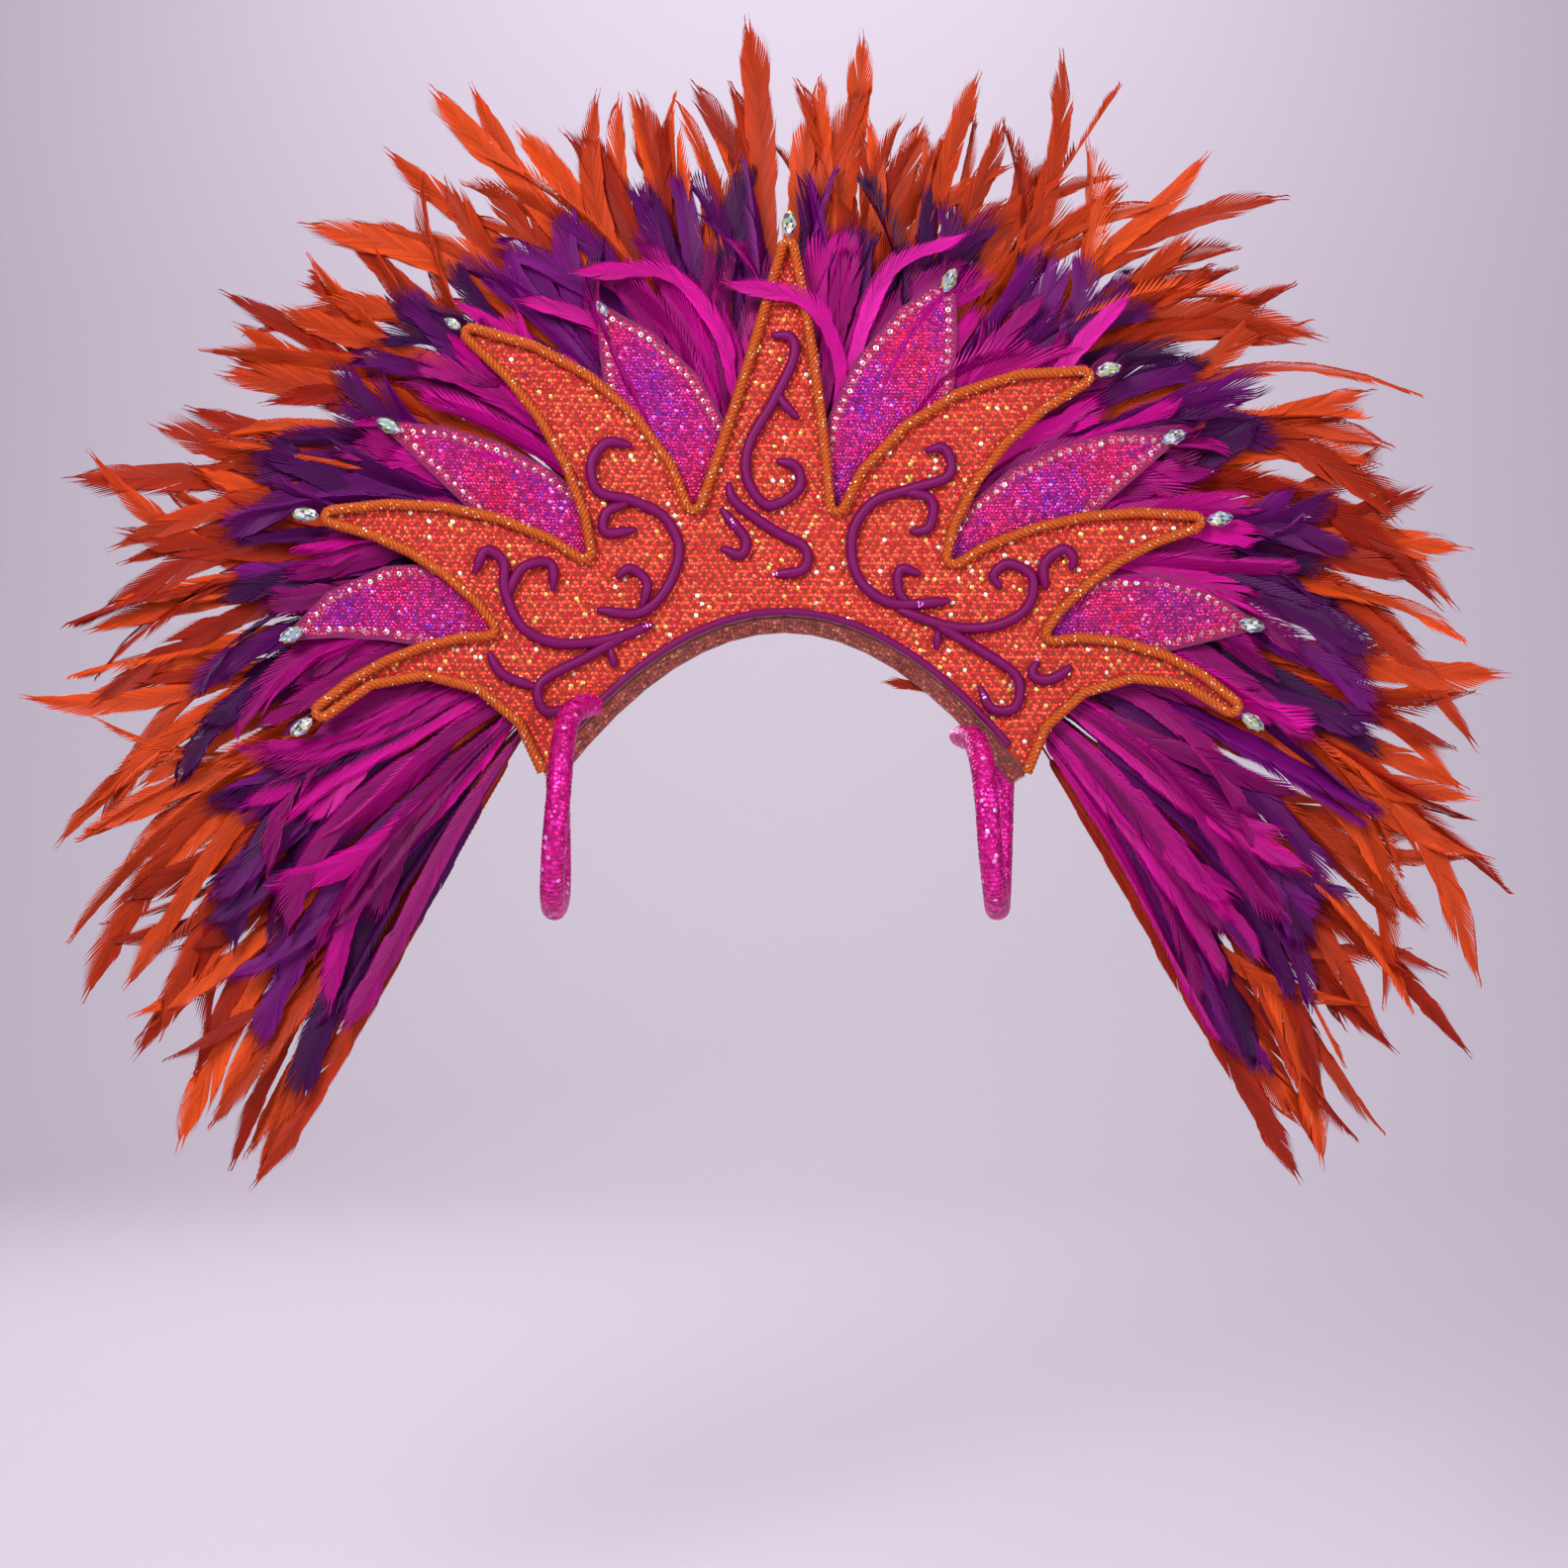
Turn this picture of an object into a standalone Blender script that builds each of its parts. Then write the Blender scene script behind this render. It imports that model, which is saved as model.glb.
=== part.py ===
"""Carnival feather shoulder collar: a sequined crown-shaped panel, petals, cords, stones, two arm
harness loops and a fan of feather locks in three layers.

Metres, +Z up. The front faces -Y. The origin lies on the shoulder line, between the two harness tops.
"""

import itertools
import math

import bmesh
import bpy
from mathutils import Vector

# Panel
PANEL_WIDTH = 0.898
PANEL_HEIGHT = 0.529
PANEL_DROP = 0.071  # its lowest tips hang this far below the shoulder line
SHEET_THICKNESS = 0.003
NECK_RISE = 0.159
TIP_WIDTH = 0.0126
NOTCH_RADIUS = 0.0075
PETAL_TIP_WIDTH = 0.005
CLEARANCE = 0.0003
EDGE_STEPS = 5
NECK_STEPS = 16
ROUND_STEPS = 4  # of a tip or a notch

# The garment wraps round the shoulders: its sides come forward along flat strips
DISH_RADIUS = 1.6
FOLD_STEP = 0.06

# Cords, binding and stones
EDGE_CORD_DIAMETER = 0.012
SCROLL_DIAMETER = 0.0112
BRANCH_THINNING = 0.96
SCROLL_STEP = 0.024
PIPING_DIAMETER = 0.008
PIPING_END_GAP = 0.032
BINDING_DEPTH = 0.034
BINDING_FALL = 0.014
BINDING_THICKNESS = 0.002
STONE_LENGTH = 0.027
STONE_WIDTH = 0.0155
STONE_HEIGHT = 0.008
STONE_SIDES = 8
STONE_FULLNESS = 0.35  # 0 is an oval, and more of it is more pointed
SMALL_STONE = 0.7
STONE_TUCK = 0.0009  # a tip stone's point reaches this far under its cord
PETAL_STONE_INSET = 0.3  # from the petal's tip, as a share of the stone's length
# A stone's rings: share of its height, share of its length and width
STONE_RINGS = ((0.0, 0.62), (0.42, 1.0), (1.0, 0.55))

# Harness
HARNESS_DIAMETER = 0.024
HARNESS_DROP = 0.205
HARNESS_REACH = 0.125  # how far it stands in front of the panel
HARNESS_BACK = 0.055
HARNESS_STEP = 0.026
HARNESS_HALF_WIDTH = 0.210

# Feather fan
FAN_RADIUS = 0.72
FAN_CENTRE_UP = -0.050
FAN_LOWEST_DEG = 240.0
BACKING_RADIUS = 0.250
BACKING_WIDTH = 0.034
BACKING_LOWEST_DEG = 172.0
SECTORS = 6
BACKING_STEPS = 3
SECTOR_GAP = 0.0006
LOCK_THICKNESS = 0.0025
LOCK_WIDTH = 0.044
BACKING_DEPTH = 0.010
CURL_BACK = 0.060  # how far the last row leans back at CURL_LENGTH
CURL_LENGTH = 0.5  # the length along a lock at which its curl is reached

# The panel's corners, from the left end over the points to the right end. Across is a share of
# PANEL_WIDTH from the middle, up of PANEL_HEIGHT from the lowest tips. Hollow is the depth of the arc
# that leaves the corner as a share of its chord, positive where it bends into the panel.
#    name, kind, across, up, hollow
PANEL_CORNERS = (
    ("left_end", "end", -0.264, 0.002, 0.31),
    ("left_low", "tip", -0.502, 0.115, -0.093),
    ("left_notch_low", "notch", -0.307, 0.263, 0.095),
    ("left_middle", "tip", -0.492, 0.478, -0.107),
    ("left_notch_middle", "notch", -0.205, 0.393, 0.095),
    ("left_high", "tip", -0.342, 0.828, -0.144),
    ("left_notch_high", "notch", -0.094, 0.480, 0.010),
    ("spike", "tip", 0.010, 1.000, -0.016),
    ("right_notch_high", "notch", 0.059, 0.473, -0.166),
    ("right_high", "tip", 0.339, 0.747, 0.116),
    ("right_notch_middle", "notch", 0.180, 0.382, -0.094),
    ("right_middle", "tip", 0.458, 0.469, 0.092),
    ("right_notch_low", "notch", 0.287, 0.250, -0.123),
    ("right_low", "tip", 0.498, 0.123, 0.307),
    ("right_end", "end", 0.276, 0.000, 0.0),
)

# Petals, in the panel's shares: first root, tip, second root, and the hollows of the two edges
#    name, root across, root up, tip across, tip up, root across, root up, hollow, hollow
PETALS = (
    ("petal_left_high", -0.147, 0.418, -0.202, 0.892, -0.041, 0.446, -0.045, -0.175),
    ("petal_right_high", 0.048, 0.440, 0.195, 0.951, 0.154, 0.446, -0.170, -0.060),
    ("petal_left_middle", -0.225, 0.304, -0.440, 0.658, -0.164, 0.418, 0.0, -0.136),
    ("petal_right_middle", 0.170, 0.418, 0.445, 0.635, 0.226, 0.304, -0.160, 0.0),
    ("petal_left_low", -0.286, 0.172, -0.543, 0.250, -0.253, 0.295, 0.080, -0.250),
    ("petal_right_low", 0.254, 0.267, 0.528, 0.272, 0.293, 0.172, -0.230, 0.0),
)

# Scroll cords, in the panel's shares: each stroke is a smooth line through a few (across, up) pairs.
# The strokes of one scroll cross or touch, and are one cord piece.
SCROLLS = {
    "scroll_centre_high": (
        ((-0.009, 0.834), (0.013, 0.830), (0.016, 0.790), (-0.006, 0.709), (-0.033, 0.629),
         (-0.036, 0.561), (-0.012, 0.510), (0.022, 0.541), (0.019, 0.584), (-0.003, 0.595)),
        ((-0.002, 0.728), (0.006, 0.703), (0.022, 0.675)),
    ),
    "scroll_centre_middle": (
        ((-0.057, 0.554), (-0.049, 0.516), (-0.006, 0.463), (0.028, 0.431), (0.028, 0.389),
         (-0.006, 0.378)),
    ),
    "scroll_centre_small": (
        ((-0.065, 0.505), (-0.055, 0.482), (-0.038, 0.446), (-0.042, 0.416), (-0.066, 0.429)),
    ),
    "scroll_left_high": (
        ((-0.164, 0.622), (-0.192, 0.628), (-0.210, 0.588), (-0.202, 0.535), (-0.164, 0.518),
         (-0.128, 0.486), (-0.112, 0.422), (-0.128, 0.346), (-0.158, 0.304), (-0.204, 0.310)),
        ((-0.168, 0.514), (-0.193, 0.495), (-0.194, 0.457), (-0.159, 0.463)),
        ((-0.183, 0.371), (-0.166, 0.389), (-0.148, 0.361), (-0.154, 0.315)),
    ),
    "scroll_left_low": (
        ((-0.339, 0.376), (-0.326, 0.420), (-0.307, 0.399), (-0.305, 0.342), (-0.286, 0.276),
         (-0.246, 0.246), (-0.187, 0.255), (-0.141, 0.284)),
        ((-0.304, 0.331), (-0.286, 0.388), (-0.255, 0.397), (-0.252, 0.344)),
        ((-0.163, 0.270), (-0.214, 0.221), (-0.266, 0.170), (-0.261, 0.117), (-0.226, 0.127)),
        ((-0.323, 0.229), (-0.308, 0.187), (-0.270, 0.162)),
        ((-0.189, 0.240), (-0.184, 0.200)),
    ),
    "scroll_right_high": (
        ((0.163, 0.612), (0.186, 0.616), (0.190, 0.565), (0.148, 0.541), (0.106, 0.516),
         (0.082, 0.454), (0.089, 0.371), (0.128, 0.323), (0.192, 0.327)),
        ((0.136, 0.537), (0.170, 0.520), (0.168, 0.467), (0.146, 0.459)),
        ((0.159, 0.378), (0.136, 0.388), (0.134, 0.346), (0.147, 0.319)),
        ((0.248, 0.350), (0.239, 0.374), (0.256, 0.397), (0.282, 0.372), (0.277, 0.314),
         (0.243, 0.280), (0.193, 0.278), (0.132, 0.312)),
        ((0.172, 0.286), (0.225, 0.233), (0.265, 0.183), (0.264, 0.125), (0.237, 0.123),
         (0.224, 0.166)),
        ((0.178, 0.272), (0.176, 0.233)),
    ),
    "scroll_right_side": (
        ((0.297, 0.346), (0.295, 0.393), (0.316, 0.423), (0.327, 0.406), (0.325, 0.382)),
    ),
    "scroll_right_hook": (
        ((0.288, 0.214), (0.282, 0.187), (0.296, 0.176), (0.313, 0.185), (0.325, 0.204)),
    ),
}

# Harness tubes: across as a share of HARNESS_HALF_WIDTH, forward of HARNESS_REACH (negative is behind,
# in shares of HARNESS_BACK), down of HARNESS_DROP, and thickness as a share of its diameter
#    across, forward, down, thickness
HARNESS_LEFT = (
    (-0.87, 0.20, 0.02, 0.70),
    (-0.92, 0.27, 0.02, 1.00),
    (-0.98, 0.46, 0.07, 1.00),
    (-1.00, 0.78, 0.22, 1.00),
    (-1.01, 0.97, 0.43, 1.00),
    (-1.03, 0.98, 0.66, 1.00),
    (-1.05, 0.78, 0.90, 1.00),
    (-1.06, 0.35, 1.00, 1.00),
    (-1.06, -0.30, 0.93, 1.00),
    (-1.07, -0.90, 0.68, 1.00),
    (-1.08, -1.00, 0.38, 1.00),
    (-1.08, -0.62, 0.16, 1.00),
)
HARNESS_RIGHT = (
    (0.86, -0.16, 0.165, 0.70),
    (0.89, 0.10, 0.17, 1.00),
    (0.92, 0.46, 0.19, 1.00),
    (0.94, 0.80, 0.30, 1.00),
    (0.955, 0.98, 0.47, 1.00),
    (0.97, 0.98, 0.68, 1.00),
    (1.00, 0.78, 0.90, 1.00),
    (1.03, 0.35, 1.00, 1.00),
    (1.06, -0.30, 0.93, 1.00),
    (1.08, -0.90, 0.68, 1.00),
    (1.09, -1.00, 0.38, 1.00),
    (1.09, -0.62, 0.16, 1.00),
)
HARNESS_LEFT_SEAT = -1.086  # where each tube ends on the panel's back, a share of HARNESS_HALF_WIDTH
HARNESS_RIGHT_SEAT = 1.090
HARNESS_SEAT_UP = -0.025
HARNESS_SEAT_GAP = 0.0023

# Feather layers, front to back. Reach is a share of FAN_RADIUS, and front and back are the locks in
# each row of one sector. Width is a share of LOCK_WIDTH, depth of BACKING_DEPTH, curl of CURL_BACK.
#    name, reach, front, back, width, depth, front curl, back curl
LAYERS = (
    ("magenta", 0.71, 4, 3, 0.91, 1.0, 0.00, 0.17),
    ("purple", 0.84, 4, 3, 0.95, 1.0, 0.33, 0.50),
    ("orange", 0.99, 4, 3, 1.09, 1.0, 0.75, 1.00),
)
BACK_ROW_SHORTENING = 0.93
FRONT_ROW_INSET = 0.0046  # from the backing's front face to the middle of the front row
BACK_ROW_INSET = 0.0023
# One lock: share of its length, of its width and of its thickness
LOCK_PROFILE = ((0.0, 0.16, 1.0), (0.36, 0.70, 1.0), (0.74, 0.94, 1.0), (1.0, 0.08, 0.5))
# How lock lengths vary: share of the reach, radians from one lock to the next
LENGTH_WAVES = ((0.045, 2.4), (0.020, 5.1))
LOCK_BEND = 0.07  # sideways, a share of the length
BEND_WAVE = 1.9  # radians from one lock to the next

# Colour, roughness, metallic
FINISHES = {
    "panel_sequins": ((0.72, 0.11, 0.04), 0.35, 0.3),
    "petal_sequins": ((0.50, 0.0, 0.20), 0.35, 0.3),
    "copper_cord": ((0.50, 0.13, 0.04), 0.5, 0.3),
    "scroll_cord": ((0.20, 0.0, 0.12), 0.5, 0.0),
    "harness_sequins": ((0.65, 0.02, 0.30), 0.35, 0.3),
    "binding_sequins": ((0.30, 0.06, 0.04), 0.5, 0.2),
    "stone": ((0.85, 0.90, 0.95), 0.05, 0.0),
    "feather_magenta": ((0.42, 0.01, 0.24), 0.7, 0.0),
    "feather_purple": ((0.08, 0.01, 0.12), 0.7, 0.0),
    "feather_orange": ((0.68, 0.09, 0.02), 0.7, 0.0),
}


def collection(name):
    made = bpy.data.collections.new(name)
    bpy.context.scene.collection.children.link(made)
    return made


def finish(name):
    found = bpy.data.materials.get(name)
    if found:
        return found
    colour, roughness, metallic = FINISHES[name]
    made = bpy.data.materials.new(name)
    made.use_nodes = True
    shader = made.node_tree.nodes["Principled BSDF"]
    shader.inputs["Base Color"].default_value = (*colour, 1.0)
    shader.inputs["Roughness"].default_value = roughness
    shader.inputs["Metallic"].default_value = metallic
    return made


def dish(x):
    """How far the garment lies behind its middle at x: a parabola, drawn in flat strips."""
    strip = math.floor(x / FOLD_STEP)
    near = -((strip * FOLD_STEP) ** 2) / (2 * DISH_RADIUS)
    far = -(((strip + 1) * FOLD_STEP) ** 2) / (2 * DISH_RADIUS)
    return near + (far - near) * (x / FOLD_STEP - strip)


def dished(point):
    return Vector((point[0], point[1] + dish(point[0]), point[2]))


def on_panel(across, up):
    """A place on the panel as an (x, z) pair, from its shares of the panel's width and height."""
    return Vector((across * PANEL_WIDTH, up * PANEL_HEIGHT - PANEL_DROP))


def arc(start, end, hollow, steps=EDGE_STEPS):
    """Points of a round arc whose middle lies hollow times its chord to the right of the way."""
    chord = end - start
    right = Vector((chord.y, -chord.x)) / 2
    if abs(hollow) < 1e-4:
        return [start.lerp(end, step / steps) for step in range(steps + 1)]
    spread = 2 * math.atan(2 * hollow)
    middle = (start + end) / 2
    points = []
    for step in range(steps + 1):
        turn = (2 * step / steps - 1) * spread
        along = math.sin(turn) / math.sin(spread)
        aside = (math.cos(turn) - math.cos(spread)) / math.sin(spread)
        points.append(middle + chord / 2 * along + right * aside)
    return points


def tip_ends(before, after, width):
    """The two ends of a blunt tip, and its axis, from the arcs before and after it."""
    tip = before[-1]
    axis = (tip - before[-2]).normalized() + (tip - after[1]).normalized()
    axis.normalize()
    side = Vector((axis.y, -axis.x)) * width / 2
    return tip - side, tip + side, axis


def round_cap(first, last, axis, steps=ROUND_STEPS):
    """The points of a half circle from first to last that bulges along axis, without its ends."""
    middle = (first + last) / 2
    side = (first - last) / 2
    outward = axis * side.length
    return [
        middle + side * math.cos(math.pi * step / steps) + outward * math.sin(math.pi * step / steps)
        for step in range(1, steps)
    ]


def notch_round(before, after, radius, steps=ROUND_STEPS):
    """Both arcs cut back from a notch, and the round between them."""
    corner = before[-1]
    into = (before[-3] - corner).normalized()
    out = (after[2] - corner).normalized()
    half = into.angle(out) / 2
    back = radius / math.tan(half)
    centre = corner + (into + out).normalized() * radius / math.sin(half)
    start = corner + into * back
    end = corner + out * back
    sweep = (start - centre).angle_signed(end - centre)
    bend = []
    for step in range(steps + 1):
        turn = sweep * step / steps
        spoke = start - centre
        cosine, sine = math.cos(turn), math.sin(turn)
        bend.append(centre + Vector((spoke.x * cosine + spoke.y * sine, spoke.y * cosine - spoke.x * sine)))
    clear = back + radius / 3
    kept_before = [point for point in before if (point - corner).length > clear]
    kept_after = [point for point in after if (point - corner).length > clear]
    return kept_before, bend, kept_after


def crown_line():
    """The line of the panel's points from its left end to its right end, with blunt tips and rounded
    notches, and each tip's (place, axis)."""
    corners = [on_panel(row[2], row[3]) for row in PANEL_CORNERS]
    hollows = [row[4] for row in PANEL_CORNERS]
    spans = list(zip(corners[:-1], corners[1:], hollows[:-1]))
    rough = [arc(*span) for span in spans]
    ends = [[span[0], span[1]] for span in spans]
    tips = {}
    for place, row in enumerate(PANEL_CORNERS):
        if row[1] == "tip":
            first, last, axis = tip_ends(rough[place - 1], rough[place], TIP_WIDTH)
            ends[place - 1][1] = first
            ends[place][0] = last
            tips[row[0]] = (corners[place], axis)
    arcs = [arc(*end, span[2]) for end, span in zip(ends, spans)]
    joins = {}
    for place, row in enumerate(PANEL_CORNERS):
        if row[1] == "tip":
            joins[place] = round_cap(arcs[place - 1][-1], arcs[place][0], tips[row[0]][1])
        elif row[1] == "notch":
            arcs[place - 1], joins[place], arcs[place] = notch_round(
                arcs[place - 1], arcs[place], NOTCH_RADIUS
            )
    line = []
    for place, points in enumerate(arcs):
        line += joins.get(place, [])
        line += points
    return line, tips


def neck_arch(aside=0.0, first=0.0, last=1.0, steps=NECK_STEPS):
    """Points of the neck arch, a parabola between the panel's two ends, from the right end to the
    left one. aside moves it into the panel, and first and last are shares of the way."""
    left = on_panel(*PANEL_CORNERS[0][2:4])
    right = on_panel(*PANEL_CORNERS[-1][2:4])
    base = right.lerp(left, 0.5)
    half = (right.x - left.x) / 2
    points = []
    for step in range(steps + 1):
        share = first + (last - first) * step / steps
        x = half * (1 - 2 * share)
        foot = right.lerp(left, share)
        rise = NECK_RISE * (1 - (x / half) ** 2)
        slope = -2 * NECK_RISE * x / half**2
        normal = Vector((-slope, 1)).normalized()
        points.append(Vector((base.x + x, foot.y + rise)) + normal * aside)
    return points


def smooth_route(points, step):
    """Even points on a smooth line through the given ones, of any dimension (a Catmull-Rom spline)."""
    padded = [2 * points[0] - points[1], *points, 2 * points[-1] - points[-2]]
    fine = []
    for place in range(len(points) - 1):
        p0, p1, p2, p3 = padded[place : place + 4]
        pieces = max(2, round((p2 - p1).length / step))
        for piece in range(pieces):
            t = piece / pieces
            fine.append(
                (2 * p1 + (p2 - p0) * t + (2 * p0 - 5 * p1 + 4 * p2 - p3) * t**2
                 + (3 * p1 - p0 - 3 * p2 + p3) * t**3) / 2
            )
    return [*fine, points[-1]]


def link(name, data, material, home):
    made = bpy.data.objects.new(name, data)
    home.objects.link(made)
    data.materials.clear()
    data.materials.append(finish(material))
    return made


def meshed(source):
    """The evaluated mesh of an object, in world space, with its loose caps welded."""
    bpy.context.view_layer.update()
    graph = bpy.context.evaluated_depsgraph_get()
    mesh = bpy.data.meshes.new_from_object(source.evaluated_get(graph))
    mesh.transform(source.matrix_world)
    shape = bmesh.new()
    shape.from_mesh(mesh)
    bmesh.ops.remove_doubles(shape, verts=shape.verts, dist=1e-6)
    shape.to_mesh(mesh)
    shape.free()
    return mesh


def replace_with_mesh(source, mesh):
    """A mesh object in the place of source, with its name, material and collection."""
    name = source.name
    home = source.users_collection[0]
    material = source.data.materials[0]
    bpy.data.objects.remove(source)
    made = bpy.data.objects.new(name, mesh)
    home.objects.link(made)
    mesh.materials.clear()
    mesh.materials.append(material)
    return made


def fold(made):
    """Every point of a flat piece moved back or forward with the dish."""
    for vertex in made.data.vertices:
        vertex.co = dished(vertex.co)


def flat_sheet(name, outline, front, thickness, material, home):
    """A flat sheet of that outline, whose front face lies at y = front, cut along the fold lines."""
    curve = bpy.data.curves.new(name, "CURVE")
    curve.dimensions = "2D"
    curve.fill_mode = "BOTH"
    curve.extrude = thickness / 2
    spline = curve.splines.new("POLY")
    spline.points.add(len(outline) - 1)
    for point, place in zip(spline.points, outline):
        point.co = (place.x, place.y, 0.0, 1.0)
    spline.use_cyclic_u = True
    flat = link(name, curve, material, home)
    flat.rotation_euler = (math.pi / 2, 0.0, 0.0)
    flat.location = (0.0, front + thickness / 2, 0.0)
    made = replace_with_mesh(flat, meshed(flat))
    shape = bmesh.new()
    shape.from_mesh(made.data)
    bmesh.ops.dissolve_limit(shape, angle_limit=1e-3, verts=shape.verts, edges=shape.edges)
    low = min(vertex.co.x for vertex in shape.verts)
    high = max(vertex.co.x for vertex in shape.verts)
    for strip in range(math.ceil(low / FOLD_STEP), math.floor(high / FOLD_STEP) + 1):
        bmesh.ops.bisect_plane(
            shape,
            geom=[*shape.verts, *shape.edges, *shape.faces],
            plane_co=(strip * FOLD_STEP, 0, 0),
            plane_no=(1, 0, 0),
            dist=1e-6,
        )
    bmesh.ops.recalc_face_normals(shape, faces=shape.faces)
    shape.to_mesh(made.data)
    shape.free()
    return made


def sheet(name, outline, front, thickness, material, home):
    """A sheet of that outline, whose front face lies at y = front, folded along the dish."""
    fold(flat_sheet(name, outline, front, thickness, material, home))


def tube(name, route, diameter, material, home, thickness=None, resolution=1):
    """A round tube along the route, with filled caps. thickness holds a share for each point."""
    curve = bpy.data.curves.new(name, "CURVE")
    curve.dimensions = "3D"
    curve.bevel_depth = diameter / 2
    curve.bevel_resolution = resolution
    curve.use_fill_caps = True
    spline = curve.splines.new("POLY")
    spline.points.add(len(route) - 1)
    for place, (point, where) in enumerate(zip(spline.points, route)):
        point.co = (*where, 1.0)
        point.radius = thickness[place] if thickness else 1.0
    return link(name, curve, material, home)


def loft(sections, shape):
    """One closed body through sections of four points each, added to the bmesh."""
    rings = [[shape.verts.new(point) for point in section] for section in sections]
    for ring, following in zip(rings[:-1], rings[1:]):
        for corner in range(4):
            after = (corner + 1) % 4
            shape.faces.new((ring[corner], ring[after], following[after], following[corner]))
    shape.faces.new(rings[0][::-1])
    shape.faces.new(rings[-1])


def lofted(name, bodies, material, home):
    """An object of one or more lofted bodies, each a list of sections."""
    shape = bmesh.new()
    for sections in bodies:
        loft(sections, shape)
    bmesh.ops.recalc_face_normals(shape, faces=shape.faces)
    mesh = bpy.data.meshes.new(name)
    shape.to_mesh(mesh)
    shape.free()
    return link(name, mesh, material, home)


def fused(base, other):
    """base joined with other by a Boolean union, as one mesh object in the place of base."""
    union = base.modifiers.new("join", "BOOLEAN")
    union.operation = "UNION"
    union.object = other
    made = replace_with_mesh(base, meshed(base))
    bpy.data.objects.remove(other)
    return made


def panel_and_cords(home):
    line, tips = crown_line()
    arch = neck_arch()
    sheet("collar_panel", line + arch[1:-1], -SHEET_THICKNESS / 2, SHEET_THICKNESS, "panel_sequins", home)
    over = -SHEET_THICKNESS / 2 - CLEARANCE
    depth = over - EDGE_CORD_DIAMETER / 2
    route = [dished((point.x, depth, point.y)) for point in line]
    tube("edge_cord", route, EDGE_CORD_DIAMETER, "copper_cord", home)
    depth = over - PIPING_DIAMETER / 2
    length = sum((b - a).length for a, b in zip(arch[:-1], arch[1:]))
    end = PIPING_END_GAP / length
    line = neck_arch(PIPING_DIAMETER / 2, end, 1 - end)
    route = [dished((point.x, depth, point.y)) for point in line]
    tube("neck_piping", route, PIPING_DIAMETER, "scroll_cord", home)
    return tips


def neck_binding(home):
    """A band that turns back from the neck arch and falls a little towards its rear edge."""
    front = -SHEET_THICKNESS / 2
    rear = front + BINDING_DEPTH
    top = neck_arch(-CLEARANCE)
    low = neck_arch(-CLEARANCE - BINDING_THICKNESS)
    rear_top = neck_arch(-CLEARANCE - BINDING_FALL)
    rear_low = neck_arch(-CLEARANCE - BINDING_FALL - BINDING_THICKNESS)
    sections = [
        [dished((a.x, front, a.y)), dished((b.x, rear, b.y)), dished((c.x, rear, c.y)),
         dished((d.x, front, d.y))]
        for a, b, c, d in zip(top, rear_top, rear_low, low)
    ]
    lofted("neck_binding", [sections], "binding_sequins", home)


def petals(home):
    """The petals behind the panel, and each one's (tip, axis)."""
    tips = {}
    for name, a_across, a_up, t_across, t_up, b_across, b_up, first, second in PETALS:
        tip = on_panel(t_across, t_up)
        roots = on_panel(a_across, a_up), on_panel(b_across, b_up)
        before = arc(roots[0], tip, first)
        after = arc(tip, roots[1], second)
        start, end, axis = tip_ends(before, after, PETAL_TIP_WIDTH)
        before = arc(roots[0], start, first)
        after = arc(end, roots[1], second)
        outline = [*before, *round_cap(start, end, axis), *after]
        sheet(name, outline, SHEET_THICKNESS / 2 + CLEARANCE, SHEET_THICKNESS, "petal_sequins", home)
        tips[name] = (tip, axis)
    return tips


def scrolls(home):
    depth = -SHEET_THICKNESS / 2 - CLEARANCE - SCROLL_DIAMETER / 2
    for name, strokes in SCROLLS.items():
        made = None
        for place, stroke in enumerate(strokes):
            line = smooth_route([on_panel(*share) for share in stroke], SCROLL_STEP)
            route = [dished((point.x, depth, point.y)) for point in line]
            size = SCROLL_DIAMETER * (BRANCH_THINNING if place else 1.0)
            piece = tube(name if place == 0 else name + "_branch", route, size, "scroll_cord", home)
            if len(strokes) > 1:
                piece = replace_with_mesh(piece, meshed(piece))
            made = fused(made, piece) if made else piece


def stone(name, middle, axis, back, size, home):
    """A navette stone on its back face: a pointed oval girdle, a crown with a table, a flat back."""
    side = Vector((axis.y, -axis.x))
    shape = bmesh.new()
    rings = []
    for height, width in STONE_RINGS:
        ring = []
        for corner in range(STONE_SIDES):
            turn = 2 * math.pi * corner / STONE_SIDES
            along = axis * math.cos(turn) * STONE_LENGTH / 2
            across = side * math.sin(turn) * abs(math.sin(turn)) ** STONE_FULLNESS * STONE_WIDTH / 2
            where = middle + (along + across) * width * size
            deep = back + dish(middle.x) - height * STONE_HEIGHT * size
            ring.append(shape.verts.new((where.x, deep, where.y)))
        rings.append(ring)
    for ring, following in zip(rings[:-1], rings[1:]):
        for corner in range(STONE_SIDES):
            after = (corner + 1) % STONE_SIDES
            shape.faces.new((ring[corner], ring[after], following[after], following[corner]))
    shape.faces.new(rings[0][::-1])
    shape.faces.new(rings[-1])
    bmesh.ops.recalc_face_normals(shape, faces=shape.faces)
    mesh = bpy.data.meshes.new(name)
    shape.to_mesh(mesh)
    shape.free()
    link(name, mesh, "stone", home)


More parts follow.
